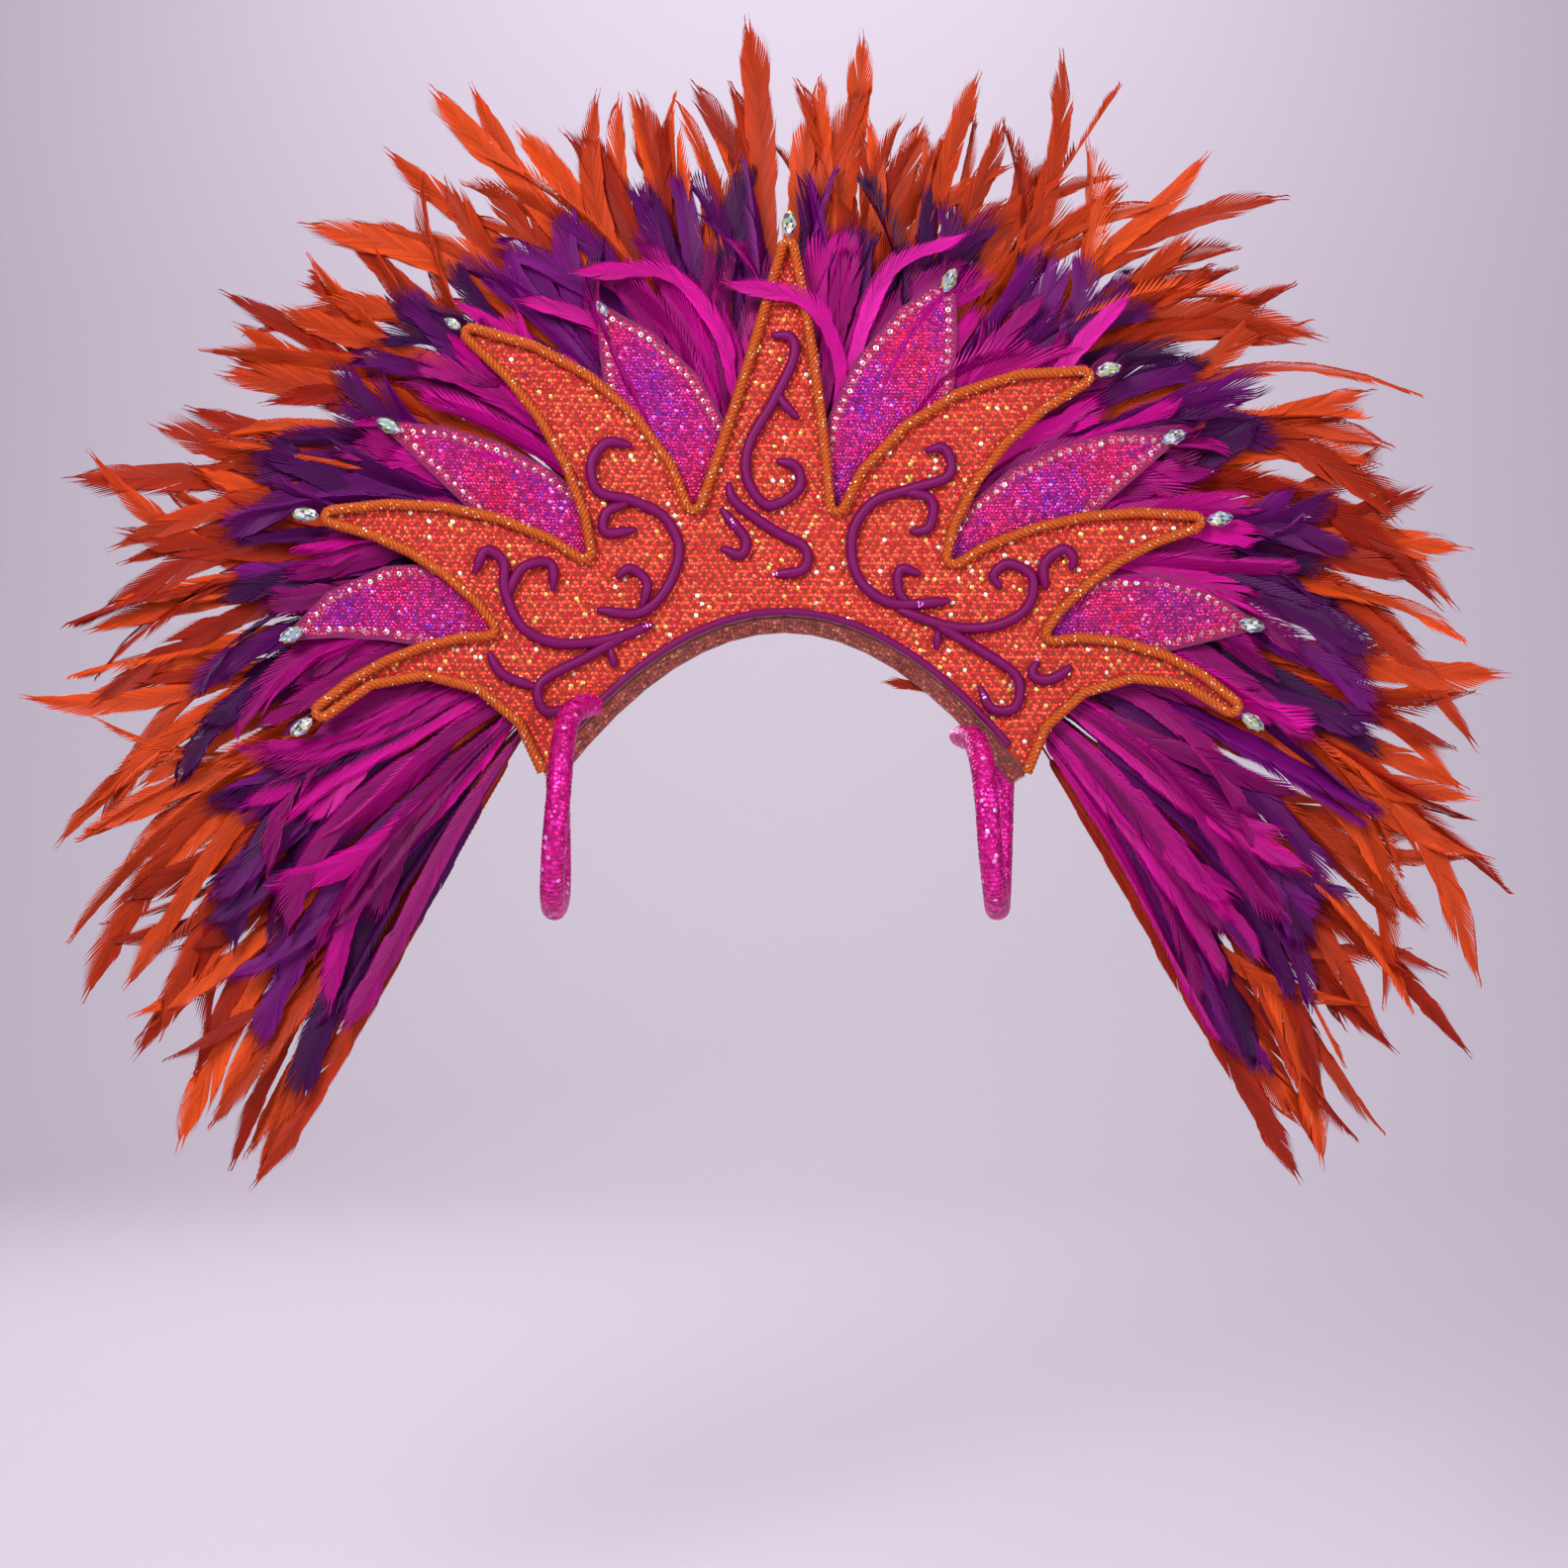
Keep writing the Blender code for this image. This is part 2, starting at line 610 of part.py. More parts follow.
def stones(panel_tips, petal_tips, home):
    """One stone beyond each of the panel's tips, against the cord, and one on each petal's tip."""
    for name, (tip, axis) in panel_tips.items():
        size = SMALL_STONE if name == "left_high" else 1.0
        cord = (TIP_WIDTH + EDGE_CORD_DIAMETER) / 2 - STONE_TUCK
        middle = tip + axis * (cord + CLEARANCE + STONE_LENGTH * size / 2)
        stone("crystal_" + name, middle, axis, -SHEET_THICKNESS / 2 - CLEARANCE, size, home)
    for name, (tip, axis) in petal_tips.items():
        size = SMALL_STONE if name == "petal_left_high" else 1.0
        middle = tip - axis * STONE_LENGTH * size * PETAL_STONE_INSET
        reach = STONE_LENGTH * size / 2 * STONE_RINGS[0][1]
        lean = max(dish(middle.x) - dish(middle.x + way * reach) for way in (-1, 1))
        stone("crystal_" + name, middle, axis, SHEET_THICKNESS / 2 - lean, size, home)


def harness(name, table, seat, home):
    """A strap tube from the neck edge, forward and down, round under the arm and up to the panel's
    back, where its end is seated."""
    route = []
    for across, forward, down, thickness in table:
        reach = HARNESS_REACH if forward > 0 else HARNESS_BACK
        x = across * HARNESS_HALF_WIDTH
        route.append(Vector((x, dish(x) - forward * reach, -down * HARNESS_DROP, thickness)))
    behind = SHEET_THICKNESS / 2 + HARNESS_SEAT_GAP
    route.append(Vector((*dished((seat * HARNESS_HALF_WIDTH, behind, HARNESS_SEAT_UP)), 1.0)))
    fine = smooth_route(route, HARNESS_STEP)
    tube(name, [point.xyz for point in fine], HARNESS_DIAMETER, "harness_sequins", home,
         thickness=[point.w for point in fine], resolution=2)


def fan_place(share):
    """Root place and direction of a lock at a share of the way round the fan, from the lower left."""
    root_turn = math.radians(BACKING_LOWEST_DEG + (180 - 2 * BACKING_LOWEST_DEG) * share)
    way_turn = math.radians(FAN_LOWEST_DEG + (180 - 2 * FAN_LOWEST_DEG) * share)
    root = Vector((0.0, FAN_CENTRE_UP)) + BACKING_RADIUS * Vector((math.cos(root_turn), math.sin(root_turn)))
    return root, Vector((math.cos(way_turn), math.sin(way_turn)))


def lock_length(root, way, radius):
    """The way from the root to the circle of that radius round the fan's centre."""
    spoke = root - Vector((0.0, FAN_CENTRE_UP))
    along = spoke.dot(way)
    return math.sqrt(along**2 - spoke.length_squared + radius**2) - along


def lock(share, number, radius, width, depth, curl):
    """The sections of one pointed lock before its fold, bent to one side and leaning back towards its tip."""
    root, way = fan_place(share)
    reach = radius * (1 + sum(share * math.sin(step * number) for share, step in LENGTH_WAVES))
    length = lock_length(root, way, reach)
    side = Vector((way.y, -way.x))
    bend = LOCK_BEND * length * math.sin(BEND_WAVE * number)
    sections = []
    for along, wide, thick in LOCK_PROFILE:
        middle = root + way * length * along + side * bend * along**2
        turned = (side - way * 2 * bend / length * along).normalized()
        half = turned * width * wide / 2
        y = depth + curl * (along * length / CURL_LENGTH) ** 2
        deep = LOCK_THICKNESS / 2 * thick
        left, right = middle - half, middle + half
        sections.append([
            (left.x, y - deep, left.y), (right.x, y - deep, right.y),
            (right.x, y + deep, right.y), (left.x, y + deep, left.y),
        ])
    return sections


def backing(name, sector, front, depth, material, home):
    """A sector of the curved band that the locks of one layer are bound to. Its ends run the way the
    locks do, so that a slanting lock stays off the next sector."""
    outer, inner = [], []
    for step in range(BACKING_STEPS + 1):
        share = (sector + step / BACKING_STEPS) / SECTORS
        root, way = fan_place(share)
        radial = (root - Vector((0.0, FAN_CENTRE_UP))).normalized()
        lean = way.dot(radial)
        gap = {0: 1, BACKING_STEPS: -1}.get(step, 0) * SECTOR_GAP / 2 / lean
        root += Vector((radial.y, -radial.x)) * gap
        reach = way / lean * BACKING_WIDTH / 2
        outer.append(root + reach)
        inner.append(root - reach)
    outline = outer + inner[::-1]
    return flat_sheet(name, outline, front, depth, material, home)


def feathers(home):
    """Three layers of locks in sectors. The locks of a sector are fused to its backing."""
    front = 1.5 * SHEET_THICKNESS + 2 * CLEARANCE
    numbers = itertools.count()
    for colour, reach, ahead, behind, width, depth, front_curl, back_curl in LAYERS:
        thick = depth * BACKING_DEPTH
        rows = (
            (ahead, front + FRONT_ROW_INSET, front_curl * CURL_BACK, 1.0),
            (behind, front + thick - BACK_ROW_INSET, back_curl * CURL_BACK, BACK_ROW_SHORTENING),
        )
        for sector in range(SECTORS):
            name = f"feathers_{colour}_{sector + 1}"
            material = "feather_" + colour
            base = backing(name, sector, front, thick, material, home)
            bodies = []
            for count, middle, curl, shorter in rows:
                for place in range(count):
                    share = (sector + (place + 0.5) / count) / SECTORS
                    radius = FAN_RADIUS * reach * shorter
                    bodies.append(lock(share, next(numbers), radius, width * LOCK_WIDTH, middle, curl))
            fold(fused(base, lofted(name + "_locks", bodies, material, home)))
        front += thick + CLEARANCE


def main():
    for old in list(bpy.data.objects):
        bpy.data.objects.remove(old)
    home = collection("feather_shoulder_collar")
    panel_tips = panel_and_cords(home)
    neck_binding(home)
    petal_tips = petals(home)
    scrolls(home)
    stones(panel_tips, petal_tips, home)
    harness("harness_left", HARNESS_LEFT, HARNESS_LEFT_SEAT, home)
    harness("harness_right", HARNESS_RIGHT, HARNESS_RIGHT_SEAT, home)
    feathers(home)


main()
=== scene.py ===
"""Dresses the feather shoulder collar: feathers, sequins, cords, stones, petals and harness."""

import logging
import math
from dataclasses import dataclass, field
from enum import Enum

import bpy
import numpy as np
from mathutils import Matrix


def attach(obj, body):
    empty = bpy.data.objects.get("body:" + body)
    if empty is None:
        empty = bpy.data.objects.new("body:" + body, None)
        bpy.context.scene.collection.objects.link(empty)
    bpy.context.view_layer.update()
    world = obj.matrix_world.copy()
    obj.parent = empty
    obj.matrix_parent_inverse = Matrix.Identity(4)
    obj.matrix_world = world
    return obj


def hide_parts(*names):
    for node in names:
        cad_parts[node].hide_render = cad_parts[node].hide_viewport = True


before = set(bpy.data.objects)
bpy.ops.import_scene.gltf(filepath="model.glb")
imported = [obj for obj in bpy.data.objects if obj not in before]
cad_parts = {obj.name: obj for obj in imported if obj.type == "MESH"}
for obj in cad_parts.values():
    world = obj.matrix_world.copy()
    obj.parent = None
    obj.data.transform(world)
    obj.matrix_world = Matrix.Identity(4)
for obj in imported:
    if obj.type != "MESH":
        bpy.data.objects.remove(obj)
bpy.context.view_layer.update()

log = logging.getLogger("feather_collar")

# The garment comes forward at its sides along flat strips, as its solids do
DISH_RADIUS = 1.6
FOLD_STEP = 0.06
PANEL_WIDTH = 0.898
PANEL_HEIGHT = 0.529
PANEL_DROP = 0.071
PANEL_FRONT = -0.0015
PETAL_FRONT = 0.0018
CLEARANCE = 0.0003
FRONT = np.array([0.0, -1.0, 0.0])
RIGHT = np.array([1.0, 0.0, 0.0])
SEED = 20
SPLINE_STEPS = 12  # between two places that a smooth line goes through
BEARING_STEPS = 400  # along the fan, where a bearing is looked up
ACROSS_DISC = np.array([0.3, 0.1, 1.0])  # a direction that no disc faces, which its ring starts from
UNDER_SHARE = 0.3

# A feather's vane: the share of its width at the foot, the share of its length where it is widest, and
# the last share, over which it closes to the tip, with its narrowing and its least width squared
FOOT_WIDTH = 0.35
WIDEST_AT = 0.6
TIP_SHARE = 0.14
TIP_NARROWING = 0.45
TIP_LEAST = 0.16
# A barb's middle lies at a share of its length, past which it bends by an angle in radians, and its half
# width is a share of the pitch
BARB_MIDDLE = 0.68
BARB_BEND = 0.26
BARB_HALF_WIDTH = 0.72
# Its corners are two and a ridge at the foot, two and a ridge at the middle, and the point
BARB_FACES = np.array([
    [0, 1, 2], [0, 3, 4], [0, 4, 1], [1, 4, 5], [1, 5, 2],
    [2, 5, 3], [2, 3, 0], [3, 6, 4], [4, 6, 5], [5, 6, 3],
])
# Painted shade on each barb's corners: darker at the foot beside the quill, lighter at the ridges and the
# point
BARB_PAINTED_SHADE = np.array([0.72, 0.72, 0.80, 1.0, 1.0, 1.05, 1.10])

# The colour sockets of a Mix node, by number
MIX_FACTOR = 0
MIX_FIRST = 6
MIX_SECOND = 7
MIX_RESULT = 2


class Layer(Enum):
    """The three colours of feathers, from the front to the back."""

    MAGENTA = "magenta"
    PURPLE = "purple"
    ORANGE = "orange"


def linear(red: float, green: float, blue: float) -> tuple[float, float, float]:
    """A colour as a shader takes it, from its three values as a screen shows them, 0 to 255."""
    shares = np.array([red, green, blue]) / 255
    low = shares / 12.92
    high = ((shares + 0.055) / 1.055) ** 2.4
    return tuple(np.where(shares <= 0.04045, low, high))


def dish(x: np.ndarray) -> np.ndarray:
    """How far the garment lies behind its middle at x: minus x squared over twice the radius, drawn
    in flat strips of FOLD_STEP."""
    strip = np.floor(np.asarray(x) / FOLD_STEP)
    near = -((strip * FOLD_STEP) ** 2) / (2 * DISH_RADIUS)
    far = -(((strip + 1) * FOLD_STEP) ** 2) / (2 * DISH_RADIUS)
    return near + (far - near) * (np.asarray(x) / FOLD_STEP - strip)


def unit(vectors: np.ndarray) -> np.ndarray:
    """Each vector of an array at length one."""
    return vectors / np.maximum(np.linalg.norm(vectors, axis=-1, keepdims=True), 1e-12)


class Wire:
    """A socket of a material's nodes that can stand in a Python expression."""

    def __init__(self, shade: "Shade", socket: bpy.types.NodeSocket) -> None:
        """Wraps a socket.

        Args:
            shade: the material that it belongs to.
            socket: the output that it stands for.
        """
        self.shade = shade
        self.socket = socket

    def _maths(self, operation: str, first: object, second: object) -> "Wire":
        """A Math node on two values, numbers or wires."""
        node = self.shade.node("ShaderNodeMath", {"operation": operation}, {0: first, 1: second})
        return Wire(self.shade, node.outputs[0])

    def __add__(self, other: object) -> "Wire":
        """self + other."""
        return self._maths("ADD", self, other)

    def __radd__(self, other: object) -> "Wire":
        """other + self."""
        return self._maths("ADD", other, self)

    def __mul__(self, other: object) -> "Wire":
        """self * other."""
        return self._maths("MULTIPLY", self, other)

    def __rmul__(self, other: object) -> "Wire":
        """other * self."""
        return self._maths("MULTIPLY", other, self)

    def wave(self) -> "Wire":
        """The sine of the value."""
        return self._maths("SINE", self, 0.0)


class Shade:
    """One material with a Principled shader, and short ways to add nodes to it."""

    def __init__(self, name: str, **constants: object) -> None:
        """Makes the material.

        Args:
            name: the material's name.
            constants: values for the shader's own sockets, named with _ for a space.
        """
        self.material = bpy.data.materials.new(name)
        self.material.use_nodes = True
        self.tree = self.material.node_tree
        self.shader = self.tree.nodes["Principled BSDF"]
        for key, value in constants.items():
            socket = self.shader.inputs[key.replace("_", " ").title().replace("Ior", "IOR")]
            is_colour = isinstance(value, tuple) and len(value) == 3
            socket.default_value = (*value, 1.0) if is_colour else value

    def node(self, kind: str, settings: dict | None = None, inputs: dict | None = None) -> bpy.types.Node:
        """Adds a node.

        Args:
            kind: the node's type.
            settings: its own options, set first.
            inputs: values or wires for its sockets, by name or number.

        Returns:
            The new node.
        """
        made = self.tree.nodes.new(kind)
        for key, value in (settings or {}).items():
            setattr(made, key, value)
        for key, value in (inputs or {}).items():
            if isinstance(value, Wire):
                self.tree.links.new(value.socket, made.inputs[key])
            else:
                made.inputs[key].default_value = value
        return made

    def wire(
        self, kind: str, output: str | int, settings: dict | None = None, inputs: dict | None = None
    ) -> Wire:
        """Adds a node and gives one of its outputs, named or numbered, as a wire."""
        return Wire(self, self.node(kind, settings, inputs).outputs[output])

    def place(self) -> Wire:
        """Object coordinates."""
        return self.wire("ShaderNodeTexCoord", "Object")

    def uv(self) -> tuple[Wire, Wire]:
        """The piece's own map as two wires, round it and along it."""
        source = self.wire("ShaderNodeUVMap", 0, {"uv_map": "UVMap"})
        parts = self.node("ShaderNodeSeparateXYZ", {}, {0: source})
        return Wire(self, parts.outputs[0]), Wire(self, parts.outputs[1])

    def tint(self) -> Wire:
        """The colour that each piece carries in its points."""
        return self.wire("ShaderNodeAttribute", "Color", {"attribute_name": "tint"})

    def noise(self, scale: float, detail: float = 2.0) -> Wire:
        """A soft noise from 0 to 1, of that many waves to the metre."""
        inputs = {"Vector": self.place(), "Scale": scale, "Detail": detail}
        return self.wire("ShaderNodeTexNoise", "Fac", {}, inputs)

    def blend(self, factor: object, first: object, second: object, how: str = "MIX") -> Wire:
        """Two colours mixed by a factor."""
        pair = [(*c, 1.0) if isinstance(c, tuple) and len(c) == 3 else c for c in (first, second)]
        settings = {"data_type": "RGBA", "blend_type": how, "clamp_factor": True}
        inputs = {MIX_FACTOR: factor, MIX_FIRST: pair[0], MIX_SECOND: pair[1]}
        return self.wire("ShaderNodeMix", MIX_RESULT, settings, inputs)

    def feed(self, socket: str, wire: Wire) -> None:
        """Links a wire to one of the shader's sockets."""
        self.tree.links.new(wire.socket, self.shader.inputs[socket])

    def bump(self, height: Wire, distance: float, strength: float = 1.0) -> None:
        """Feeds the shader's normal from a height."""
        inputs = {"Height": height, "Distance": distance, "Strength": strength}
        self.feed("Normal", self.wire("ShaderNodeBump", 0, {}, inputs))


@dataclass(frozen=True)
class SequinFinish:
    """Small shiny discs, each with its own colour."""

    name: str
    roughness: float = 0.30
    metallic: float = 0.35
    painted_warm_light: tuple[float, float, float] = (0.9, 0.6, 0.5)
    painted_warm_light_scale: float = 300.0

    def material(self) -> bpy.types.Material:
        """The discs' own tint, with fine specks of painted warm light over it."""
        shade = Shade(self.name, roughness=self.roughness, metallic=self.metallic, specular_ior_level=0.4)
        # A noise mask lays painted warm light over the tint in fine specks
        mask = shade.noise(self.painted_warm_light_scale) * 0.4
        shade.feed("Base Color", shade.blend(mask, shade.tint(), self.painted_warm_light, "SOFT_LIGHT"))
        return shade.material


@dataclass(frozen=True)
class ClothFinish:
    """Woven cloth under sequins, which shows between them and at the back."""

    name: str
    colour: tuple[float, float, float]
    dark: tuple[float, float, float]
    threads: float = 1100.0
    patch_scale: float = 14.0
    grain_scale: float = 60.0

    def material(self) -> bpy.types.Material:
        """Fine crossed threads in the colour and bump, with slow uneven patches."""
        shade = Shade(self.name, roughness=0.72, sheen_weight=0.25, sheen_roughness=0.5)
        parts = shade.node("ShaderNodeSeparateXYZ", {}, {0: shade.place()})
        across = (Wire(shade, parts.outputs[0]) * self.threads * 2).wave()
        up = (Wire(shade, parts.outputs[2]) * self.threads * 2).wave()
        weave = across * up * 0.5 + 0.5
        mask = weave * 0.6 + shade.noise(self.patch_scale) * 0.4
        shade.feed("Base Color", shade.blend(mask, self.dark, self.colour))
        shade.bump(weave + shade.noise(self.grain_scale) * 0.5, 0.0004, 0.6)
        return shade.material


@dataclass(frozen=True)
class CordFinish:
    """A cord wound with thread, which lies across it, with a metal glint on gimp."""

    name: str
    colour: tuple[float, float, float]
    # The lighter tone on the threads' crests: a painted highlight on the cord's colour
    light: tuple[float, float, float]
    roughness: float
    metallic: float
    threads_along: float
    slant: float = 0.0
    relief: float = 0.0003
    uneven_scale: float = 220.0

    def material(self) -> bpy.types.Material:
        """Threads as a sine of the length along the cord plus its turn, in colour and in bump: painted
        highlight on each thread's crest and painted shade between the threads, mixed with uneven patches.
        """
        shade = Shade(self.name, metallic=self.metallic, specular_ior_level=0.2)
        around, along = shade.uv()
        threads = (along * self.threads_along + around * self.slant * math.tau).wave() * 0.5 + 0.5
        uneven = shade.noise(self.uneven_scale, 3.0)
        shade.feed("Base Color", shade.blend(threads * 0.55 + uneven * 0.45, self.colour, self.light))
        shade.feed("Roughness", self.roughness + uneven * 0.15)
        shade.bump(threads + uneven * 0.4, self.relief, 0.7)
        return shade.material


@dataclass(frozen=True)
class StoneFinish:
    """Cut glass with a foiled back."""

    name: str

    def material(self) -> bpy.types.Material:
        """Bright facets, each in its own pale tint, which holds painted reflections as well as the stones'
        own colours.
        """
        shade = Shade(self.name, roughness=0.08, metallic=0.35, coat_weight=1.0, coat_roughness=0.02)
        shade.feed("Base Color", shade.tint())
        return shade.material


@dataclass(frozen=True)
class FeatherFinish:
    """Dyed cock feathers."""

    name: str
    shadow: tuple[float, float, float] = (0.56, 0.46, 0.52)
    strand_scale: float = 700.0
    cloud_scale: float = 60.0

    def material(self) -> bpy.types.Material:
        """Each barb's own tint, streaked with finer strands of painted shade."""
        shade = Shade(self.name, roughness=0.48, specular_ior_level=0.16)
        strands = shade.noise(self.strand_scale) * 0.6 + shade.noise(self.cloud_scale) * 0.4
        # Painted shade: the tint darkened by shadow, laid where the strand noise is low
        dark = shade.blend(1.0, shade.tint(), self.shadow, "MULTIPLY")
        shade.feed("Base Color", shade.blend(strands, dark, shade.tint()))
        return shade.material


@dataclass
class Shell:
    """Points, faces and tints that are gathered for one mesh."""

    points: list[np.ndarray] = field(default_factory=list)
    faces: list[np.ndarray] = field(default_factory=list)
    tints: list[np.ndarray] = field(default_factory=list)
    maps: list[np.ndarray] = field(default_factory=list)
    count: int = 0

    def add(
        self, points: np.ndarray, faces: list[np.ndarray], tint: np.ndarray | None = None,
        uv: np.ndarray | None = None,
    ) -> None:
        """Adds a body.

        Args:
            points: its points, as rows of x, y and z.
            faces: arrays of triangles or quads that number its points from 0.
            tint: a colour for each point or for them all.
            uv: a place on the map for each point.
        """
        points = points.reshape(-1, 3)
        for array in faces:
            self.faces.append(np.asarray(array) + self.count)
        self.points.append(points)
        self.tints.append(np.broadcast_to((1.0, 1.0, 1.0) if tint is None else tint, points.shape))
        self.maps.append(np.zeros((len(points), 2)) if uv is None else uv.reshape(-1, 2))
        self.count += len(points)

    def build(
        self, name: str, material: bpy.types.Material, slot: str, replaced: tuple[str, ...] = (),
        smooth: bool = False,
    ) -> None:
        """Makes the mesh object, on the root body.

        Args:
            name: the piece's name.
            material: its material.
            slot: the record's slot that the piece stands for; not used.
            replaced: the solids that it replaces.
            smooth: whether its faces shade into each other.
        """
        points = np.concatenate(self.points)
        corners = np.concatenate([array.reshape(-1) for array in self.faces])
        sizes = np.concatenate([np.full(len(array), array.shape[1]) for array in self.faces])
        starts = np.concatenate([[0], np.cumsum(sizes)[:-1]])
        mesh = bpy.data.meshes.new(name)
        mesh.vertices.add(len(points))
        mesh.vertices.foreach_set("co", points.astype(np.float32).reshape(-1))
        mesh.loops.add(len(corners))
        mesh.loops.foreach_set("vertex_index", corners.astype(np.int32))
        mesh.polygons.add(len(sizes))
        mesh.polygons.foreach_set("loop_start", starts.astype(np.int32))
        mesh.polygons.foreach_set("use_smooth", np.full(len(sizes), smooth))
        mesh.update(calc_edges=True)
        tints = np.concatenate(self.tints)
        layer = mesh.attributes.new("tint", "FLOAT_COLOR", "POINT")
        layer.data.foreach_set("color", np.c_[tints, np.ones(len(tints))].astype(np.float32).reshape(-1))
        uv = mesh.uv_layers.new(name="UVMap")
        uv.data.foreach_set("uv", np.concatenate(self.maps)[corners].astype(np.float32).reshape(-1))
        mesh.materials.append(material)
        made = bpy.data.objects.new(name, mesh)
        bpy.context.scene.collection.objects.link(made)
        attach(made, "root")
        if replaced:
            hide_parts(*replaced)
        log.info("%s: %d triangles", name, int((sizes - 2).sum()))


def grid_quads(rows: int, columns: int) -> np.ndarray:
    """The quads of a grid of points that closes on itself across its columns."""
    row, column = np.meshgrid(np.arange(rows - 1), np.arange(columns), indexing="ij")
    after = (column + 1) % columns
    below, above = row * columns, (row + 1) * columns
    return np.stack([below + column, below + after, above + after, above + column], axis=-1).reshape(-1, 4)


def tube_faces(rows: int, sides: int) -> list[np.ndarray]:
    """The faces of a tube of rings: its quads, and at each end a fan round a hub. The two hubs are
    numbered after the points of the rings."""
    ring = np.arange(sides)
    after = (ring + 1) % sides
    hub = rows * sides
    last = hub - sides
    start = np.stack([np.full(sides, hub), after, ring], axis=-1)
    end = np.stack([np.full(sides, hub + 1), last + ring, last + after], axis=-1)
    return [grid_quads(rows, sides), start, end]


def run_lengths(points: np.ndarray) -> np.ndarray:
    """The length along a line at each of its points, from 0."""
    return np.concatenate([[0], np.cumsum(np.linalg.norm(np.diff(points, axis=0), axis=1))])


def upper_side(route: np.ndarray) -> np.ndarray:
    """The unit direction square to a flat (x, z) line at each point, up where the line runs right."""
    return unit(np.gradient(route, axis=0))[:, ::-1] * (-1, 1)


def swept(
    path: np.ndarray, radius: np.ndarray | float, sides: int, reference: np.ndarray = FRONT,
    phase: np.ndarray | None = None, aside: float = 0.0,
) -> tuple[np.ndarray, list[np.ndarray], np.ndarray]:
    """A round body along a path: each point plus the radius times cosine and sine of the turn, along
    two directions square to the path. Its ends close in a point.

    Args:
        path: the middle line.
        radius: its radius at each point.
        sides: the points of each ring.
        reference: the direction that the turn starts from.
        phase: where on a helix round the path the strand lies, at each point, if it is one.
        aside: the helix's own radius.

    Returns:
        Points, faces, and the map: the turn from 0 to 1 and the length in metres.
    """
    along = unit(np.gradient(path, axis=0))
    first = unit(reference - (along @ reference)[:, None] * along)
    second = np.cross(along, first)
    middle = path
    if phase is not None:
        middle = path + aside * (first * np.cos(phase)[:, None] + second * np.sin(phase)[:, None])
    turn = np.arange(sides) / sides * math.tau
    rings = middle[:, None] + np.broadcast_to(radius, len(path))[:, None, None] * (
        first[:, None] * np.cos(turn)[None, :, None] + second[:, None] * np.sin(turn)[None, :, None]
    )
    shares = np.broadcast_to(np.arange(sides) / sides, (len(path), sides))
    lengths = np.broadcast_to(run_lengths(middle)[:, None], shares.shape)
    uv = np.stack([shares, lengths], axis=-1).reshape(-1, 2)
    points = np.concatenate([rings.reshape(-1, 3), middle[:1], middle[-1:]])
    return points, tube_faces(len(path), sides), np.concatenate([uv, uv[:1], uv[-1:]])


def even_route(points: np.ndarray, step: float, soften: float = 0.0) -> np.ndarray:
    """Even points along a polyline, with a running mean of soften metres that keeps its ends."""
    length = run_lengths(points)
    places = np.linspace(0, length[-1], max(3, round(length[-1] / step) + 1))
    route = np.stack([np.interp(places, length, column) for column in points.T], axis=-1)
    reach = round(soften / step / 2)
    if reach > 0:
        kernel = np.ones(2 * reach + 1) / (2 * reach + 1)
        before = 2 * route[:1] - route[reach:0:-1]
        beyond = 2 * route[-1:] - route[-2 : -reach - 2 : -1]
        longer = np.concatenate([before, route, beyond])
        route = np.stack([np.convolve(column, kernel, "valid") for column in longer.T], axis=-1)
    return route


def smooth_route(points: np.ndarray, step: float) -> np.ndarray:
    """Even points on a smooth line through the given ones (a Catmull-Rom spline)."""
    longer = np.concatenate([2 * points[:1] - points[1:2], points, 2 * points[-1:] - points[-2:-1]])
    t = np.linspace(0, 1, SPLINE_STEPS, endpoint=False)[:, None]
    pieces = []
    for p0, p1, p2, p3 in zip(longer[:-3], longer[1:-2], longer[2:-1], longer[3:]):
        pieces.append((2 * p1 + (p2 - p0) * t + (2 * p0 - 5 * p1 + 4 * p2 - p3) * t**2
                       + (3 * p1 - p0 - 3 * p2 + p3) * t**3) / 2)
    return even_route(np.concatenate([*pieces, points[-1:]]), step)


def on_panel(shares: np.ndarray) -> np.ndarray:
    """Places as (x, z) rows, from their shares of the panel's width and height."""
    return np.asarray(shares) * (PANEL_WIDTH, PANEL_HEIGHT) - (0.0, PANEL_DROP)


def lay(flat: np.ndarray, y: float) -> np.ndarray:
    """Flat (x, z) rows put on the dished garment, y behind its middle sheet."""
    return np.stack([flat[:, 0], dish(flat[:, 0]) + y, flat[:, 1]], axis=-1)


def front_outline(node: str) -> np.ndarray:
    """The outline of a sheet's front face in order, as (x, z) rows: the edges that only one of its
    triangles that face forward has."""
    mesh = bpy.data.objects[node].data
    mesh.calc_loop_triangles()
    points = np.empty(len(mesh.vertices) * 3)
    mesh.vertices.foreach_get("co", points)
    corners = np.empty(len(mesh.loop_triangles) * 3, np.int32)
    mesh.loop_triangles.foreach_get("vertices", corners)
    places, welded = np.unique(points.reshape(-1, 3).round(6), axis=0, return_inverse=True)
    triangles = welded.reshape(-1)[corners].reshape(-1, 3)
    sides = places[triangles[:, 1:]] - places[triangles[:, :1]]
    forward = unit(np.cross(sides[:, 0], sides[:, 1]))[:, 1] < -0.7
    kept = triangles[forward]
    edges = np.concatenate([kept[:, [0, 1]], kept[:, [1, 2]], kept[:, [2, 0]]])
    known = {(int(a), int(b)) for a, b in edges}
    following = {a: b for a, b in known if (b, a) not in known}
    loop = [next(iter(following))]
    while following[loop[-1]] != loop[0]:
        loop.append(following[loop[-1]])
    return places[loop][:, [0, 2]]


